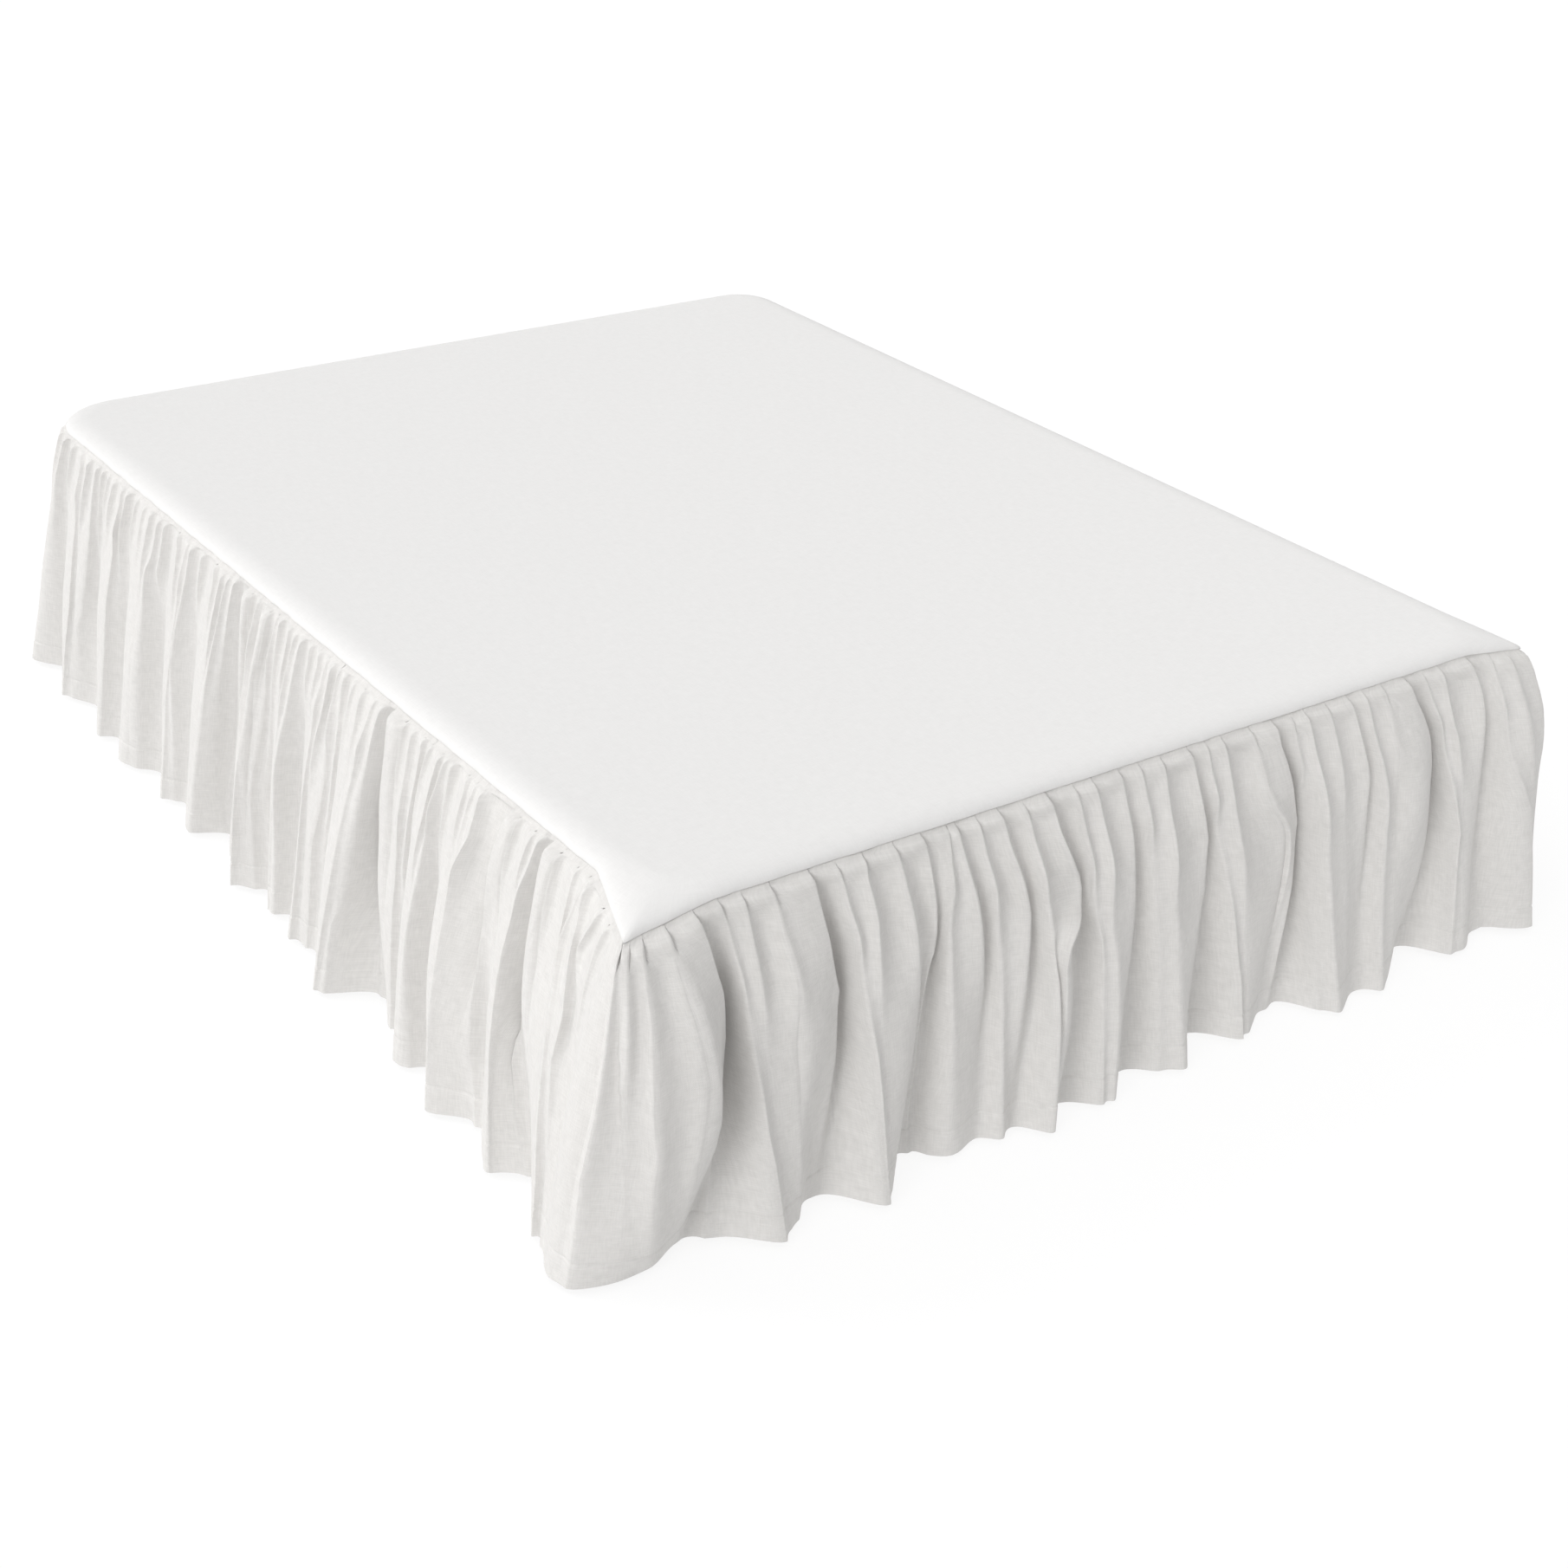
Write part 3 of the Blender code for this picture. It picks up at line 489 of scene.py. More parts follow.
# %% [markdown]
# Below the stitching each line is a ridge with a round top. Across the foot the ridges are narrow and the
# cloth hangs between them in wide troughs. Down the left side it is the other way round: the pleats are
# full and round, with a narrow, steep notch before each. Where a pleat is folded flat, its edge laps over
# the trough beside it instead. Fourteen columns of points cross the cloth from one line to the next, close
# together at the ridges. In the lapped state five of them go round the folded edge and back under it,
# which gives a real overlap and so a real shadow, and every line goes from one state to the other with its
# depth.

# %% One pleat, from its edge to the next
# for each column, lapped: its share of the way to the next line, what the folded edge adds in metres, and
# how the height falls from this edge and rises to the next; then its share where the pleat is a ridge. The
# first EDGE_STEPS columns go round the edge.
LAP_SHARE = np.array((0, 0, 0, 0, 0.0, 0.03, 0.08, 0.15, 0.25, 0.37, 0.51, 0.66, 0.81, 0.94))
LAP_TURN = np.array((0, 1.2, 1.6, 0.6, -2.4, -3.2, -1.4, 0, 0, 0, 0, 0, 0, 0)) * 0.001
LAP_FALL = np.array((1, 0.90, 0.66, 0.36, 0.10, 0, 0, 0, 0, 0, 0, 0, 0, 0))
LAP_RISE = np.array((0, 0, 0, 0, 0, 0.05, 0.17, 0.33, 0.50, 0.65, 0.78, 0.88, 0.95, 0.99))
RIDGE_SHARE = np.array((0, 0.03, 0.07, 0.12, 0.19, 0.28, 0.40, 0.53, 0.65, 0.75, 0.83, 0.89, 0.94, 0.975))
PLEAT_STEPS, EDGE_STEPS = len(LAP_SHARE), 4
# the edge's height from which a lap is whole, and the share of it by which the cloth's middle sinks
LAP_HEIGHT, PLEAT_SINK = 0.005, 0.36


def round_ridge(distance, width, rounding):
    """1 at the line, falling as exp(-(sqrt(x x + r r) - r) / width): a ridge with a round top."""
    return np.exp(-(np.sqrt(distance**2 + rounding**2) - rounding) / width)


def pleat_grid(places, heights, laps, ridge):
    """u and height on a grid of PLEAT_STEPS columns to a pleat, from its line A to the next line B.
    u = A + share (B - A) + turn. The height falls from A's ridge and rises to B's, less a sink that keeps
    the cloth's middle where it was; share, turn, fall and rise go from ridge to lap with A's or B's lap.
    Ridge gives the width of the ridges before and beyond a line and the radius of their tops."""
    count = places.shape[1] - 1
    a, b = places[:, :-1, None], places[:, 1:, None]
    lapped = laps * np.clip(heights / LAP_HEIGHT, 0, 1)
    lap, next_lap = lapped[:, :-1, None], lapped[:, 1:, None]
    share = RIDGE_SHARE + (LAP_SHARE - RIDGE_SHARE) * lap
    u = a + share * (b - a) + LAP_TURN * lap
    v = V[:, None, None]
    before, beyond, rounding = (np.minimum(seam + more * v, part * (b - a)) for seam, more, part in ridge)
    fall = round_ridge(share * (b - a), beyond, rounding) * (1 - share**2)
    fall = fall + (LAP_FALL - fall) * lap
    rise = round_ridge((1 - share) * (b - a), before, rounding) * (1 - (1 - share) ** 2)
    open_share, open_rise = (np.append(column[EDGE_STEPS:], 1) for column in (LAP_SHARE, LAP_RISE))
    rise = rise + (np.interp(share, open_share, open_rise) - rise) * next_lap
    rise[:, :, :EDGE_STEPS] *= 1 - lap
    one, two = heights[:, :-1, None], heights[:, 1:, None]
    height = one * (fall - PLEAT_SINK * (1 - share)) + two * (rise - PLEAT_SINK * share)
    rows = len(LEVELS)
    last_height = (1 - PLEAT_SINK) * heights[:, -1:]
    u = np.concatenate((u.reshape(rows, count * PLEAT_STEPS), places[:, -1:]), 1)
    height = np.concatenate((height.reshape(rows, count * PLEAT_STEPS), last_height), 1)
    return u, height


print("a pleat has", PLEAT_STEPS, "columns and sinks by", PLEAT_SINK, "of its height")

# %% All the pleats, round three sides
# width of a ridge before and beyond its line and the radius of its top: at the seam, what the hem adds,
# and the share of the way to the next line that it never passes
FOOT_RIDGE = ((0.012, 0.020, 0.42), (0.007, 0.022, 0.34), (0.0020, 0.018, 0.22))
LEFT_RIDGE = ((0.0030, 0.014, 0.20), (0.045, -0.015, 1.30), (0.0012, 0.008, 0.10))
LINE_LEAST = 0.005
# the round groove at the left foot corner: depths and places
CORNER_DEPTHS = (0, 0.10, 0.20, 0.30, DROP)
CORNER_GROOVE = (-0.012, -0.013, -0.015, -0.020, -0.024)


def kept_apart(places):
    """Lines nearer than LINE_LEAST are pushed on, so that they never cross."""
    steps = np.maximum(np.diff(places, axis=1), LINE_LEAST)
    return np.concatenate((places[:, :1], places[:, :1] + np.cumsum(steps, axis=1)), 1)


corner_line = np.interp(LEVELS, CORNER_DEPTHS, CORNER_GROOVE)[:, None]
flat_line = np.zeros((len(LEVELS), 1))
left_places = kept_apart(np.concatenate((-corner_line, left[0], flat_line - RUFFLE_START), 1))
left_heights, left_laps = (np.concatenate((flat_line, left[k], flat_line), 1) for k in (1, 2))
left_u, left_pleats = pleat_grid(left_places, left_heights, left_laps, LEFT_RIDGE)
places = kept_apart(np.concatenate((corner_line, ahead[0], behind[0], flat_line + RUFFLE_END), 1))
heights, laps = (np.concatenate((flat_line, ahead[k], behind[k], flat_line), 1) for k in (1, 2))
onward_u, onward_pleats = pleat_grid(places, heights, laps, FOOT_RIDGE)
U = np.concatenate((-left_u[:, :0:-1], onward_u), 1)
PLEATS = np.concatenate((left_pleats[:, :0:-1], onward_pleats), 1)
FIRST_FOOT = left_u.shape[1] - 1
FIRST_RIGHT = FIRST_FOOT + (len(FOOT_LINES) + 1) * PLEAT_STEPS
print("cloth grid", U.shape, "foot from column", FIRST_FOOT, "right from", FIRST_RIGHT)

# %% [markdown]
# ## The whole surface
#
# Cloth is never quite even: it billows between its folds, ripples, puckers at the seam and hangs a
# millimetre lower or higher at the hem. Each of these is the same smooth random surface with its own
# strength and size. Added to the folds and the pleats, it gives one surface for the whole ruffle.

# %% Unevenness
# how far the cloth wanders, over what length along u and down the cloth, and the seed
BILLOW = (0.0034, 0.07, 0.16, 3)
RIPPLE = (0.0007, 0.021, 0.09, 5)
SEAM_PUCKER = (0.0006, 0.006, 0.05, 8)
HEM_WAVE = (0.0015, 0.09, 1.0, 21)
DECK_PUCKER = (0.0009, 0.020, 1.0, 31)
GRID_ACROSS, GRID_DOWN = 400, 60


def wander(u, depth, far, pitch_u, pitch_depth, seed):
    """Smooth unevenness from -far to far: random values on a coarse grid, blended between by
    t t (3 - 2 t). The grid repeats after GRID_ACROSS - 2 and GRID_DOWN - 2 pitches."""
    grid = far * np.random.default_rng(seed).uniform(-1, 1, (GRID_ACROSS, GRID_DOWN))
    x, y = (u + 3.0) / pitch_u, depth / pitch_depth
    i, j = np.floor(x).astype(int) % (GRID_ACROSS - 2), np.floor(y).astype(int) % (GRID_DOWN - 2)
    s, t = x - np.floor(x), y - np.floor(y)
    s, t = s * s * (3 - 2 * s), t * t * (3 - 2 * t)
    low = grid[i, j] * (1 - s) + grid[i + 1, j] * s
    high = grid[i, j + 1] * (1 - s) + grid[i + 1, j + 1] * s
    return low * (1 - t) + high * t


billow = wander(U, 0 * U, *BILLOW)
print("the cloth billows from", round(float(billow.min()), 4), "to", round(float(billow.max()), 4))

# %% The whole surface of the ruffle
TIP_FADE = 1.5
CLOTH = 0.0008
LEAST_OUT = 0.0005
# the top is tucked in and lifted a little: how far, and the depths between which that ends
TOP_TUCK, TUCK_DEPTHS = 0.0026, (0.001, 0.0045)
TOP_LIFT, LIFT_DEPTHS = 0.0018, (0.0, 0.002)
# depths between which the cloth comes to billow, and between which the puckers of the seam end
BILLOW_DEPTHS, PUCKER_DEPTHS = (0.02, 0.25), (0.005, 0.05)
# how far the turned hem stands out, and how deep and how wide its line of stitches is
HEM_FOLD, STITCH_DEEP, STITCH_WIDE = 0.0004, 0.0014, 0.0018


def ruffle_points():
    """Rim point plus out times its normal, with the height falling evenly from the seam to the hem. Out is
    the main folds, the pleats and a little unevenness; the very top is tucked in."""
    depth = np.broadcast_to(LEVELS[:, None], U.shape)
    v = V[:, None]
    out = main_folds(U, V) + PLEATS
    out += smooth(*BILLOW_DEPTHS, depth) * wander(U, depth, *BILLOW) + wander(U, depth, *RIPPLE)
    out += (1 - smooth(*PUCKER_DEPTHS, depth)) * wander(U, depth, *SEAM_PUCKER)
    past_hem = depth - (DROP - HEM_LEVEL)
    out += HEM_FOLD * smooth(-0.001, 0.001, past_hem)
    out -= STITCH_DEEP * np.exp(-((past_hem / STITCH_WIDE) ** 2))
    out = np.where(depth > TUCK_DEPTHS[0], np.maximum(out, LEAST_OUT), 0)
    out -= TOP_TUCK * (1 - smooth(*TUCK_DEPTHS, depth))
    xy, normal = rim(U)
    shift, dip = tip(U)
    xy = xy + out[..., None] * normal + shift * (1 - v[..., None]) ** TIP_FADE
    top = DECK_TOP - SEAM_DEPTH - dip - SEAM_GAP
    z = top + (FLOOR_GAP - top) * v
    z = z + v * wander(U, depth, *HEM_WAVE) + TOP_LIFT * (1 - smooth(*LIFT_DEPTHS, depth))
    return np.concatenate((xy + BED_CENTRE, z[..., None]), -1)


def grid_normals(points):
    """Cross product of the steps across and down the grid, made one long. It faces out of the bed."""
    across, down = np.gradient(points, axis=1), np.gradient(points, axis=0)
    normal = np.cross(down, across)
    return normal / np.maximum(np.linalg.norm(normal, axis=-1, keepdims=True), 1e-12)


def flat_length(points, row):
    """Length along the cloth at one level."""
    steps = np.linalg.norm(np.diff(points[row], axis=0), axis=1)
    return np.concatenate(((0,), np.cumsum(steps)))


POINTS = ruffle_points()
NORMALS = grid_normals(POINTS)
print("ruffle", POINTS.reshape(-1, 3).min(0).round(3), POINTS.reshape(-1, 3).max(0).round(3))

# %% [markdown]
# ## From a grid of points to a piece of cloth
#
# A grid gives a front. Cloth has a back too, so the same points moved in by the cloth's thickness make
# it, and a strip of faces closes the cut edge. The normals come from the whole ruffle before it is cut
# into panels, so no join shows where two panels meet.

# %% Mesh helpers


def set_mesh(name, vertices, faces, uv, normals, material):
    """A new object from whole arrays: points, faces as arrays with one face a row, a UV in metres and
    the normals of the points."""
    loops = np.concatenate([face.ravel() for face in faces])
    sizes = np.concatenate([np.full(len(face), face.shape[1]) for face in faces])
    mesh = bpy.data.meshes.new(name)
    mesh.vertices.add(len(vertices))
    mesh.vertices.foreach_set("co", vertices.astype(np.float32).ravel())
    mesh.loops.add(len(loops))
    mesh.loops.foreach_set("vertex_index", loops.astype(np.int32))
    mesh.polygons.add(len(sizes))
    mesh.polygons.foreach_set("loop_start", (np.cumsum(sizes) - sizes).astype(np.int32))
    mesh.update(calc_edges=True)
    layer = mesh.uv_layers.new(name="cloth")
    layer.data.foreach_set("uv", uv[loops].astype(np.float32).ravel())
    mesh.shade_smooth()
    mesh.normals_split_custom_set_from_vertices(normals.astype(np.float32))
    mesh.materials.append(material)
    made = bpy.data.objects.new(name, mesh)
    bpy.context.scene.collection.objects.link(made)
    return made


def closed_sheet(name, points, normals, uv, faces, border, material):
    """The front, the same CLOTH behind it and turned over, and a strip of faces along the border, whose
    points go round so that the strip faces outwards."""
    size = len(points)
    following = np.roll(border, -1)
    strip = np.stack((border, following, following + size, border + size), -1)
    faces = [*faces, *(face[:, ::-1] + size for face in faces), strip]
    vertices = np.concatenate((points, points - CLOTH * normals))
    both = np.concatenate((normals, -normals))
    return set_mesh(name, vertices, faces, np.concatenate((uv, uv)), both, material)


def grid_faces(index):
    """Faces of four between the points of a grid of point numbers."""
    return np.stack((index[:-1, :-1], index[1:, :-1], index[1:, 1:], index[:-1, 1:]), -1).reshape(-1, 4)


def cloth_panel(name, points, normals, uv, material):
    """A closed sheet from a grid, with its four sides as the border."""
    index = np.arange(points.size // 3).reshape(points.shape[:2])
    border = np.concatenate((index[0, :-1], index[:-1, -1], index[-1, :0:-1], index[:0:-1, 0]))
    points, normals = points.reshape(-1, 3), normals.reshape(-1, 3)
    return closed_sheet(name, points, normals, uv.reshape(-1, 2), [grid_faces(index)], border, material)


print("cloth is", CLOTH * 1000, "mm thick, and its grid has", U.size, "points on the front")

# %% [markdown]
# ## The cotton
#
# A plain woven cotton is a grid of threads that aren't quite even: here and there one is thicker for a
# finger's width, which is called a slub, and the cloth takes the light in faint streaks along both
# directions. One node group makes that from two stretched noises and a fine grid of threads, and every
# cloth here uses it with its own values. It puts out a shade and a height; the shader stays outside.

# %% The weave group
# how fine the two sets of slubs are along x and y of the cloth, and how fine the mottle is, per metre
SLUB_STRETCHES = ((600, 45, 1), (50, 600, 1))
MOTTLE_SCALE = 70.0


class Nodes:
    """Short names for building a node tree. An input that is another node's output is linked to it."""

    def __init__(self, tree):
        self.tree = tree

    def add(self, kind, inputs=None, **settings):
        node = self.tree.nodes.new(kind)
        for key, value in settings.items():
            setattr(node, key, value)
        for key, value in (inputs or {}).items():
            if hasattr(value, "is_output"):
                self.tree.links.new(value, node.inputs[key])
            else:
                node.inputs[key].default_value = value
        return node

    def math(self, operation, one, two=0.0):
        return self.add("ShaderNodeMath", {0: one, 1: two}, operation=operation).outputs[0]

    def stretched(self, place, stretch):
        """The place times a stretch in each direction."""
        inputs = {0: place, 1: stretch}
        return self.add("ShaderNodeVectorMath", inputs, operation="MULTIPLY").outputs[0]

    def noise(self, place, scale, detail, roughness):
        """Noise over the flat cloth, less a half, so that its mean is zero."""
        inputs = {"Vector": place, "Scale": scale, "Detail": detail, "Roughness": roughness}
        made = self.add("ShaderNodeTexNoise", inputs, noise_dimensions="2D")
        return self.math("SUBTRACT", made.outputs[0], 0.5)


def open_group(name, inputs, outputs):
    """A new shader node group with named sockets, and its input and output nodes."""
    tree = bpy.data.node_groups.new(name, "ShaderNodeTree")
    for direction, sockets in (("INPUT", inputs), ("OUTPUT", outputs)):
        for socket, kind in sockets:
            tree.interface.new_socket(socket, in_out=direction, socket_type=kind)
    nodes = Nodes(tree)
    return tree, nodes, nodes.add("NodeGroupInput"), nodes.add("NodeGroupOutput")


def weave_group():
    """Shade is 0.5 plus slubs along both directions plus a soft mottle; height is the slubs plus a grid
    of threads, a quarter of the product of two sines whose full turn is two threads."""
    tree, nodes, given, result = open_group(
        "weave",
        (("Place", "NodeSocketVector"), ("Thread", "NodeSocketFloat"), ("Slubs", "NodeSocketFloat"),
         ("Mottle", "NodeSocketFloat")),
        (("Shade", "NodeSocketFloat"), ("Height", "NodeSocketFloat")),
    )
    place = given.outputs["Place"]
    slubs = []
    for stretch in SLUB_STRETCHES:
        slubs.append(nodes.noise(nodes.stretched(place, stretch), 1.0, detail=2.0, roughness=0.6))
    slub = nodes.math("MULTIPLY", nodes.math("ADD", *slubs), given.outputs["Slubs"])
    mottle = nodes.noise(place, MOTTLE_SCALE, detail=3.0, roughness=0.55)
    mottle = nodes.math("MULTIPLY", mottle, given.outputs["Mottle"])
    shade = nodes.math("ADD", nodes.math("ADD", slub, mottle), 0.5)
    parts = nodes.add("ShaderNodeSeparateXYZ", {0: place})
    turns = nodes.math("DIVIDE", math.tau / 2, given.outputs["Thread"])
    waves = [nodes.math("SINE", nodes.math("MULTIPLY", parts.outputs[k], turns)) for k in (0, 1)]
    threads = nodes.math("MULTIPLY", *waves)
    height = nodes.math("ADD", nodes.math("MULTIPLY", threads, 0.25), slub)
    tree.links.new(shade, result.inputs["Shade"])
    tree.links.new(height, result.inputs["Height"])
    return tree


WEAVE = weave_group()
print("node group", WEAVE.name, "has", len(WEAVE.nodes), "nodes and", len(WEAVE.links), "links")

# %% Cloth and other finishes


def woven_place(nodes, upright):
    """Where the weave is read: the piece's own UV in metres, or, for upright faces of a solid, the distance
    along the floor, x + y, and the height z."""
    if not upright:
        return nodes.add("ShaderNodeUVMap", uv_map="cloth").outputs["UV"]
    there = nodes.add("ShaderNodeTexCoord").outputs["Object"]
    parts = nodes.add("ShaderNodeSeparateXYZ", {0: there})
    along = nodes.math("ADD", parts.outputs[0], parts.outputs[1])
    return nodes.add("ShaderNodeCombineXYZ", {0: along, 1: parts.outputs[2]}).outputs[0]


def open_material(name):
    """A new material, a builder for its nodes, and its shader's inputs."""
    material = bpy.data.materials.new(name)
    material.use_nodes = True
    return material, Nodes(material.node_tree), material.node_tree.nodes["Principled BSDF"].inputs


def colour_and_bump(nodes, shader, shade, stops, height, relief):
    """Colour is a ramp of two stops, each a place and a colour, over the shade. The bump is relief metres
    of the height."""
    ramp = nodes.add("ShaderNodeValToRGB", {0: shade})
    for element, (position, colour) in zip(ramp.color_ramp.elements, stops):
        element.position, element.color = position, (*colour, 1)
    bump = nodes.add("ShaderNodeBump", {"Height": height, "Strength": 1.0, "Distance": relief})
    nodes.tree.links.new(ramp.outputs["Color"], shader["Base Color"])
    nodes.tree.links.new(bump.outputs["Normal"], shader["Normal"])


def woven(name, light, dark, thread=0.001, slubs=1.0, mottle=1.0, relief=0.00025, upright=False):
    """Woven cloth: colour between dark and light by the weave's shade, rough, with a little sheen, and the
    weave's height as a bump."""
    material, nodes, shader = open_material(name)
    place = woven_place(nodes, upright)
    inputs = {"Place": place, "Thread": thread, "Slubs": slubs, "Mottle": mottle}
    weave = nodes.add("ShaderNodeGroup", inputs, node_tree=WEAVE).outputs
    colour_and_bump(nodes, shader, weave["Shade"], ((0.0, dark), (1.0, light)), weave["Height"], relief)
    shader["Roughness"].default_value = 0.9
    shader["Sheen Weight"].default_value = 0.15
    shader["Specular IOR Level"].default_value = 0.2
    return material


def turned_wood(name, light, dark, relief=0.0001):
    """Turned wood: growth rings as bands of x bent by noise, short dark flecks along z, and a satin
    coat."""
    material, nodes, shader = open_material(name)
    there = nodes.add("ShaderNodeTexCoord").outputs["Object"]
    rings = nodes.add("ShaderNodeTexWave", {
        "Vector": nodes.stretched(there, (1, 1, 0.12)), "Scale": 55.0, "Distortion": 5.0, "Detail": 2.0,
        "Detail Scale": 1.5,
    }).outputs["Fac"]
    flecks = nodes.add("ShaderNodeTexNoise", {
        "Vector": nodes.stretched(there, (900, 900, 90)), "Scale": 1.0, "Detail": 1.0,
    }).outputs[0]
    shade = nodes.math("ADD", nodes.math("MULTIPLY", rings, 0.6), nodes.math("MULTIPLY", flecks, 0.5))
    colour_and_bump(nodes, shader, shade, ((0.2, light), (0.9, dark)), flecks, relief)
    shader["Roughness"].default_value = 0.42
    return material


ruffle_cotton = woven("gathered_cotton", (0.75, 0.736, 0.718), (0.55, 0.539, 0.523), slubs=0.5,
                      mottle=0.35)
deck_cotton = woven("smooth_cotton", (0.80, 0.793, 0.787), (0.65, 0.644, 0.636), slubs=0.3, mottle=0.2,
                    relief=0.00015)
ticking = woven("plain_ticking", (0.78, 0.76, 0.715), (0.62, 0.60, 0.56), thread=0.0012, slubs=0.7,
                mottle=0.4, relief=0.0003, upright=True)
beech = turned_wood("turned_beech", (0.60, 0.43, 0.27), (0.40, 0.26, 0.145))
print("finishes", ruffle_cotton.name, deck_cotton.name, ticking.name, beech.name)

# %% [markdown]
# ## The panels
#
# A real ruffle is sewn together from several widths of cloth. Here it is cut along columns of the grid
# into five panels, so that none has too many faces. Each panel takes the solid ruffle's place and moves
# with the bed. The weave follows lengths along the cloth, measured at one depth for the whole strip.

# %% The panels of the ruffle
MEASURED_DEPTH = 0.2
ALONG = flat_length(POINTS, int(np.searchsorted(LEVELS, MEASURED_DEPTH)))
UV = np.stack(np.broadcast_arrays(ALONG, DROP - LEVELS[:, None]), -1)
HALF_LEFT, LAST = FIRST_FOOT // 2, U.shape[1] - 1
HALF_RIGHT = (FIRST_RIGHT + LAST) // 2
# name, first and last column, width of the strip before it is gathered
PANELS = (
    ("ruffle_left_head", 0, HALF_LEFT, 1.40),
    ("ruffle_left_foot", HALF_LEFT, FIRST_FOOT, 1.30),
    ("ruffle_foot", FIRST_FOOT, FIRST_RIGHT, 2.50),
    ("ruffle_right_foot", FIRST_RIGHT, HALF_RIGHT, 1.37),
    ("ruffle_right_head", HALF_RIGHT, LAST, 1.38),
)
for name, first, last, width in PANELS:
    part = slice(first, last + 1)
    panel = cloth_panel(name, POINTS[:, part], NORMALS[:, part], UV[:, part], ruffle_cotton)
    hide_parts("ruffle")
    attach(panel, "root")
    hem = flat_length(POINTS[:, part], len(LEVELS) - 1)[-1]
    print(name, "length along the hem", round(float(hem), 3), "faces", len(panel.data.polygons))

# %% [markdown]
# ## The deck
#
# The deck is one flat cloth, cut a little larger than the bed and square at the foot, so that its sides
# roll over the edge of the base and its two foot corners stand out as small tips. Its rim is the same
# curve that the ruffle hangs from, so it can be drawn as rings of points: under the seam, over the bulge
# of the seam allowance, round the edge and in across the flat. The middle needs fewer points than the
# rim, so there every fourth point goes on into a plain grid.

# %% The deck's rings
# inset of the flat's edge, how far the round edge falls, and the sag of the flat's rim and where it ends
DECK_ROUND, DECK_SIDE, DECK_SAG, SAG_REACH = 0.042, 0.0152, 0.0004, 0.12
# lean, tuck, inset and drop of the rings from the seam to the top of the bulge
BULGE = ((1, 0.0026, 0, 0.0174), (1, 0.0022, 0, 0.0178), (1, 0.0011, 0, 0.0172), (1, 0.0000, 0, 0.0162))
# the puckers are strongest at this drop and die away over this spread
PUCKER_DROP, PUCKER_SPREAD = 0.0145, 0.0045
ROUND_STEPS = 10
FLAT_ROW = len(BULGE) + ROUND_STEPS
STEPS_ACROSS, STEPS_ALONG, EVERY = 240, 320, 4
# the rings turn from the rim's outline into a plain rectangle between these insets
SQUARE_FROM, SQUARE_INSET = 0.064, 0.16
HALF_BED = np.array((BED_WIDTH / 2, BED_LENGTH / 2))


def loop_places():
    """u once round the bed from the head's left corner, in even steps that hit every corner."""
    half = STEPS_ACROSS // 2
    runs = (
        (HEAD_LEFT, FOOT_LEFT, STEPS_ALONG),
        (FOOT_LEFT, FOOT_RIGHT, STEPS_ACROSS),
        (FOOT_RIGHT, HEAD_RIGHT, STEPS_ALONG),
        (HEAD_RIGHT, HEAD_RIGHT + BED_WIDTH / 2, half),
        (HEAD_LEFT - BED_WIDTH / 2, HEAD_LEFT, half),
    )
    return np.concatenate([np.linspace(low, high, count, endpoint=False) for low, high, count in runs])


def square_ring(every):
    """The same loop on a plain rectangle, SQUARE_INSET inside the rim."""
    x, y = HALF_BED - SQUARE_INSET
    across = np.linspace(-x, x, STEPS_ACROSS // every + 1)
    along = np.linspace(y, -y, STEPS_ALONG // every + 1)
    sides = (
        (-x + 0 * along, along), (across, -y + 0 * across),
        (x + 0 * along, -along), (-across, y + 0 * across),
    )
    return np.concatenate([np.stack(side, -1)[:-1] for side in sides])


def deck_profile():
    """Rows of lean, tuck, inset and drop: the edge tucked in at the seam, the bulge above it, a quarter
    round, and the flat with a slight sag. Lean is the share of the rim, the rest is the flat's ring."""
    turn = np.linspace(0, math.pi / 2, ROUND_STEPS)
    drop = DECK_SIDE * (1 - np.sin(turn)) + DECK_SAG
    around = np.stack((np.cos(turn), 0 * turn, DECK_ROUND + 0 * turn, drop), -1)
    inset = np.array((0.046, 0.052, 0.058, SQUARE_FROM, 0.09, 0.125))
    sag = DECK_SAG * (1 - smooth(DECK_ROUND, SAG_REACH, inset))
    flat = np.stack((0 * inset, 0 * inset, inset, sag), -1)
    return np.concatenate((BULGE, around, flat))


def deck_rings():
    """Each ring is lean times the rim, moved by the tip's shift and dip, plus the rest times the rim inset
    with rounder corners; past SQUARE_FROM it blends into the rectangle. Small puckers lift the bulge."""
    u = loop_places()
    shift, dip = tip(u)
    edge, normal = rim(u)
    rounded, round_normal = rim(u, FLAT_RADIUS)
    square = square_ring(1)
    rings = []
    for lean, tuck, inset, drop in deck_profile():
        flat = rounded - min(inset, SQUARE_FROM) * round_normal
        beyond = max(inset - SQUARE_FROM, 0) / (SQUARE_INSET - SQUARE_FROM)
        flat = flat * (1 - beyond) + square * beyond
        near_seam = math.exp(-(((drop - PUCKER_DROP) / PUCKER_SPREAD) ** 2))
        pucker = near_seam * wander(u, 0 * u, *DECK_PUCKER)
        xy = lean * (edge + shift + (pucker[:, None] - tuck) * normal) + (1 - lean) * flat
        z = DECK_TOP - drop - lean * dip
        rings.append(np.concatenate((xy, z[:, None]), -1))
    return np.array(rings)


rings = deck_rings()
print("deck rings", rings.shape, "lowest", round(float(rings[..., 2].min()), 4))

# %% The deck's points and faces
FEW, DEEP = STEPS_ACROSS // EVERY, STEPS_ALONG // EVERY
OUTLINE = square_ring(EVERY)


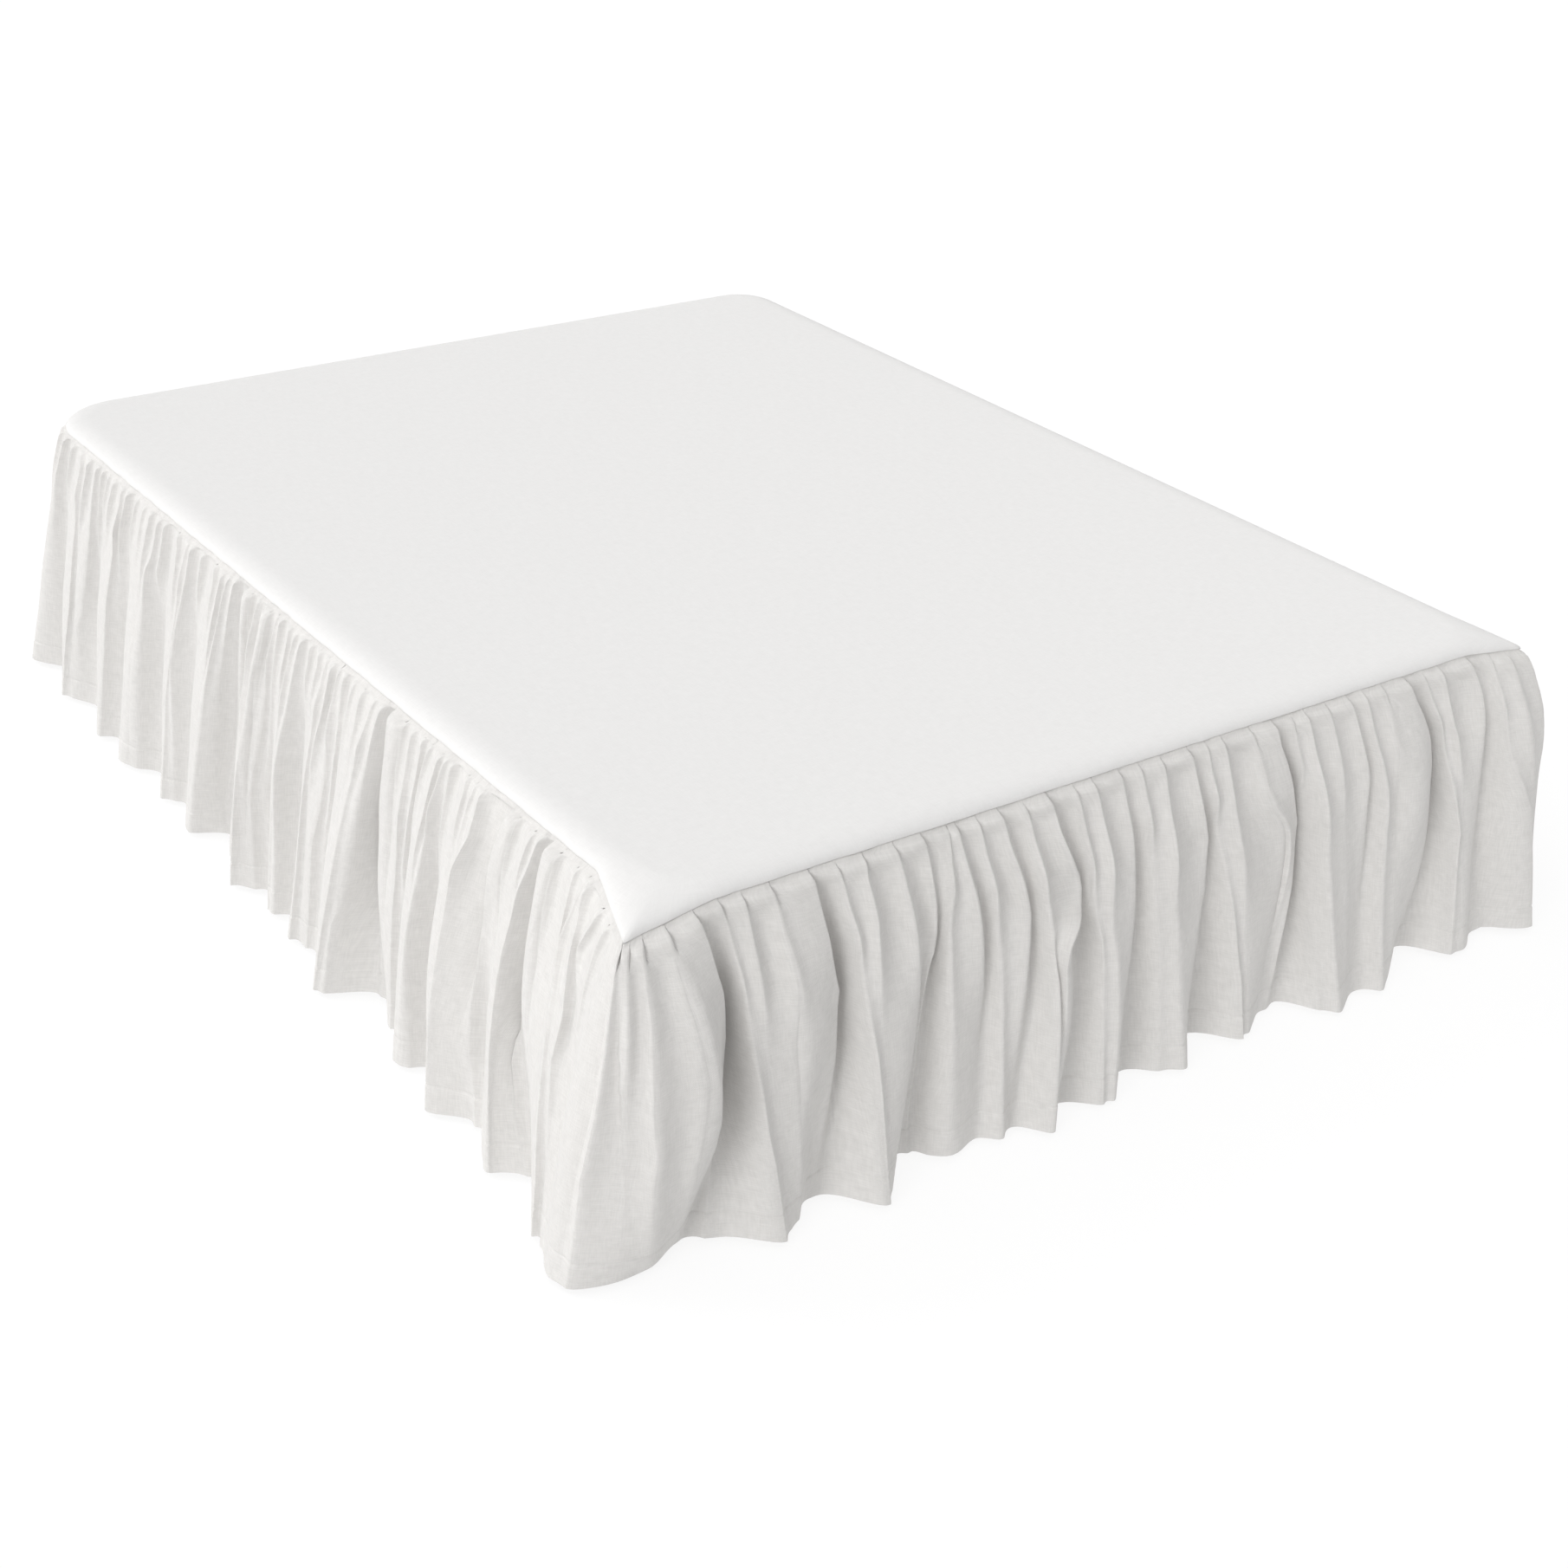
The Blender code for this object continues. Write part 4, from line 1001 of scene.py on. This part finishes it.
def deck_points():
    """Points and normals of the upper side: the rings, the outline of the grid inside them, and the points
    inside that. A ring's normal is the cross product of the steps along it and in from it."""
    x = np.linspace(OUTLINE[:, 0].min(), OUTLINE[:, 0].max(), FEW + 1)
    y = np.linspace(OUTLINE[:, 1].max(), OUTLINE[:, 1].min(), DEEP + 1)
    inside = np.stack(np.meshgrid(x[1:-1], y[1:-1]), -1).reshape(-1, 2)
    middle = np.concatenate((OUTLINE, inside))
    middle = np.concatenate((middle, np.full((len(middle), 1), DECK_TOP)), 1)
    along = np.roll(rings, -1, 1) - np.roll(rings, 1, 1)
    normals = np.cross(along, np.gradient(rings, axis=0))
    normals /= np.linalg.norm(normals, axis=-1, keepdims=True)
    up = np.tile((0.0, 0, 1), (len(middle), 1))
    return np.concatenate((rings.reshape(-1, 3), middle)), np.concatenate((normals.reshape(-1, 3), up))


def deck_uv(points):
    """The flat keeps its x and y. From its edge outwards, the length along the cloth is laid off along the
    rim's normal."""
    lengths = np.linalg.norm(np.diff(rings, axis=0), axis=-1)[::-1].cumsum(0)[::-1]
    out = np.zeros((*rings.shape[:2], 1))
    out[:FLAT_ROW, :, 0] = lengths[:FLAT_ROW] - lengths[FLAT_ROW]
    uv = np.where(out > 0, rings[FLAT_ROW, :, :2], rings[..., :2]) + out * rim(loop_places())[1]
    return np.concatenate((uv.reshape(-1, 2), points[out.size:, :2]))


def deck_faces():
    """Faces of four between the rings, a ring of seven-sided faces that drops three points in four, and the
    grid inside it. Then the border: the lowest ring, turned so that the strip along it faces outwards."""
    rows, around = rings.shape[:2]
    index = np.arange(rows * around).reshape(rows, around)
    following = np.roll(index, -1, 1)
    quads = np.stack((index[:-1], following[:-1], following[1:], index[1:]), -1).reshape(-1, 4)
    outline = rows * around + np.arange(len(OUTLINE))
    last = np.append(index[-1], index[-1, 0])
    outer = [last[EVERY * np.arange(len(OUTLINE)) + k] for k in range(EVERY + 1)]
    change = np.stack(outer + [np.roll(outline, -1), outline], -1)
    grid = np.empty((DEEP + 1, FEW + 1), int)
    loop = np.append(outline, outline[0])
    grid[:, 0] = loop[:DEEP + 1]
    grid[-1, :] = loop[DEEP:DEEP + FEW + 1]
    grid[::-1, -1] = loop[DEEP + FEW:2 * DEEP + FEW + 1]
    grid[0, ::-1] = loop[2 * DEEP + FEW:]
    inside = outline[-1] + 1 + np.arange((DEEP - 1) * (FEW - 1))
    grid[1:-1, 1:-1] = inside.reshape(DEEP - 1, FEW - 1)
    return (quads, change, grid_faces(grid)), index[0, ::-1]


print("inside the rings,", len(OUTLINE), "points round a grid of", (DEEP - 1) * (FEW - 1))

# %% The deck's cloth
points, normals = deck_points()
uv = deck_uv(points)
faces, border = deck_faces()
points[:, :2] += BED_CENTRE
deck = closed_sheet("deck_cloth", points, normals, uv, faces, border, deck_cotton)
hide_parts("deck")
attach(deck, "root")
print("deck faces", len(deck.data.polygons))

# %% [markdown]
# ## Floor and light
#
# White cloth shows its folds only where light comes from the side. A wide soft light behind the left side
# rakes along it, another from the left rakes across the foot, a very soft one overhead keeps the deck even,
# and the pale room fills the rest. A sun lamp with a wide angle gives the same soft light everywhere; a
# card near the right foot corner is an area lamp, because its light has to fall off along the foot. The
# floor glows a little, so that it stays white with only a faint shadow under the hem.

# %% The floor
FLOOR_REACH, FLOOR_SHADE, FLOOR_GLOW = 40.0, 0.12, 0.86
floor_mesh = bpy.data.meshes.new("floor")
corners = [(x * FLOOR_REACH, y * FLOOR_REACH, 0) for x, y in ((-1, -1), (1, -1), (1, 1), (-1, 1))]
floor_mesh.from_pydata(corners, [], [(0, 1, 2, 3)])
floor = bpy.data.objects.new("floor", floor_mesh)
bpy.context.scene.collection.objects.link(floor)
pale_floor, _, paint = open_material("pale_floor")
paint["Base Color"].default_value = (FLOOR_SHADE, FLOOR_SHADE, FLOOR_SHADE, 1)
paint["Roughness"].default_value = 0.9
paint["Emission Color"].default_value = (1, 1, 1, 1)
paint["Emission Strength"].default_value = FLOOR_GLOW
floor.data.materials.append(pale_floor)
print("floor", 2 * FLOOR_REACH, "m wide, shade", FLOOR_SHADE, "glow", FLOOR_GLOW)

# %% The room and its lights
ROOM_LIGHT = 0.36
scene = bpy.context.scene
scene.view_settings.view_transform = "Standard"
world = bpy.data.worlds.new("studio")
world.use_nodes = True
world.node_tree.nodes["Background"].inputs["Color"].default_value = (1, 1, 1, 1)
world.node_tree.nodes["Background"].inputs["Strength"].default_value = ROOM_LIGHT
scene.world = world


def put_light(name, kind, energy, height, direction, place=(0, 0, 0), **settings):
    """A lamp whose light comes from a height and a direction, in degrees. A sun lamp's place counts for
    nothing, an area lamp stands at its place."""
    lamp = bpy.data.lights.new(name, kind)
    lamp.energy = energy
    for key, value in settings.items():
        setattr(lamp, key, value)
    light = bpy.data.objects.new(name, lamp)
    light.location = place
    light.rotation_euler = (math.radians(90 - height), 0, math.radians(direction))
    scene.collection.objects.link(light)
    print(name, kind.lower(), "lamp, strength", energy)


put_light("back_left_box", "SUN", 1.2, 34, -142, angle=math.radians(36))
put_light("left_front_box", "SUN", 1.2, 29, -64, angle=math.radians(30))
put_light("overhead_box", "SUN", 1.25, 80, -90, angle=math.radians(80))
put_light("right_card", "AREA", 5.0, 10, 44, place=(2.6, -2.8, 0.95), size=1.4)

# %% [markdown]
# ## The base and its legs
#
# Under the cloth stands a padded base on six turned legs. Their solids already have the right shape, so
# they stay, and only their material slots are filled: a plain ticking, and beech with a satin coat.

# %% Finishes for the solids that stay
for name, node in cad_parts.items():
    finish = beech if name.startswith("leg") else ticking
    for slot in node.material_slots:
        slot.link = "OBJECT"
        slot.material = finish
    print(name, "has", len(node.material_slots), "slot, now", finish.name)
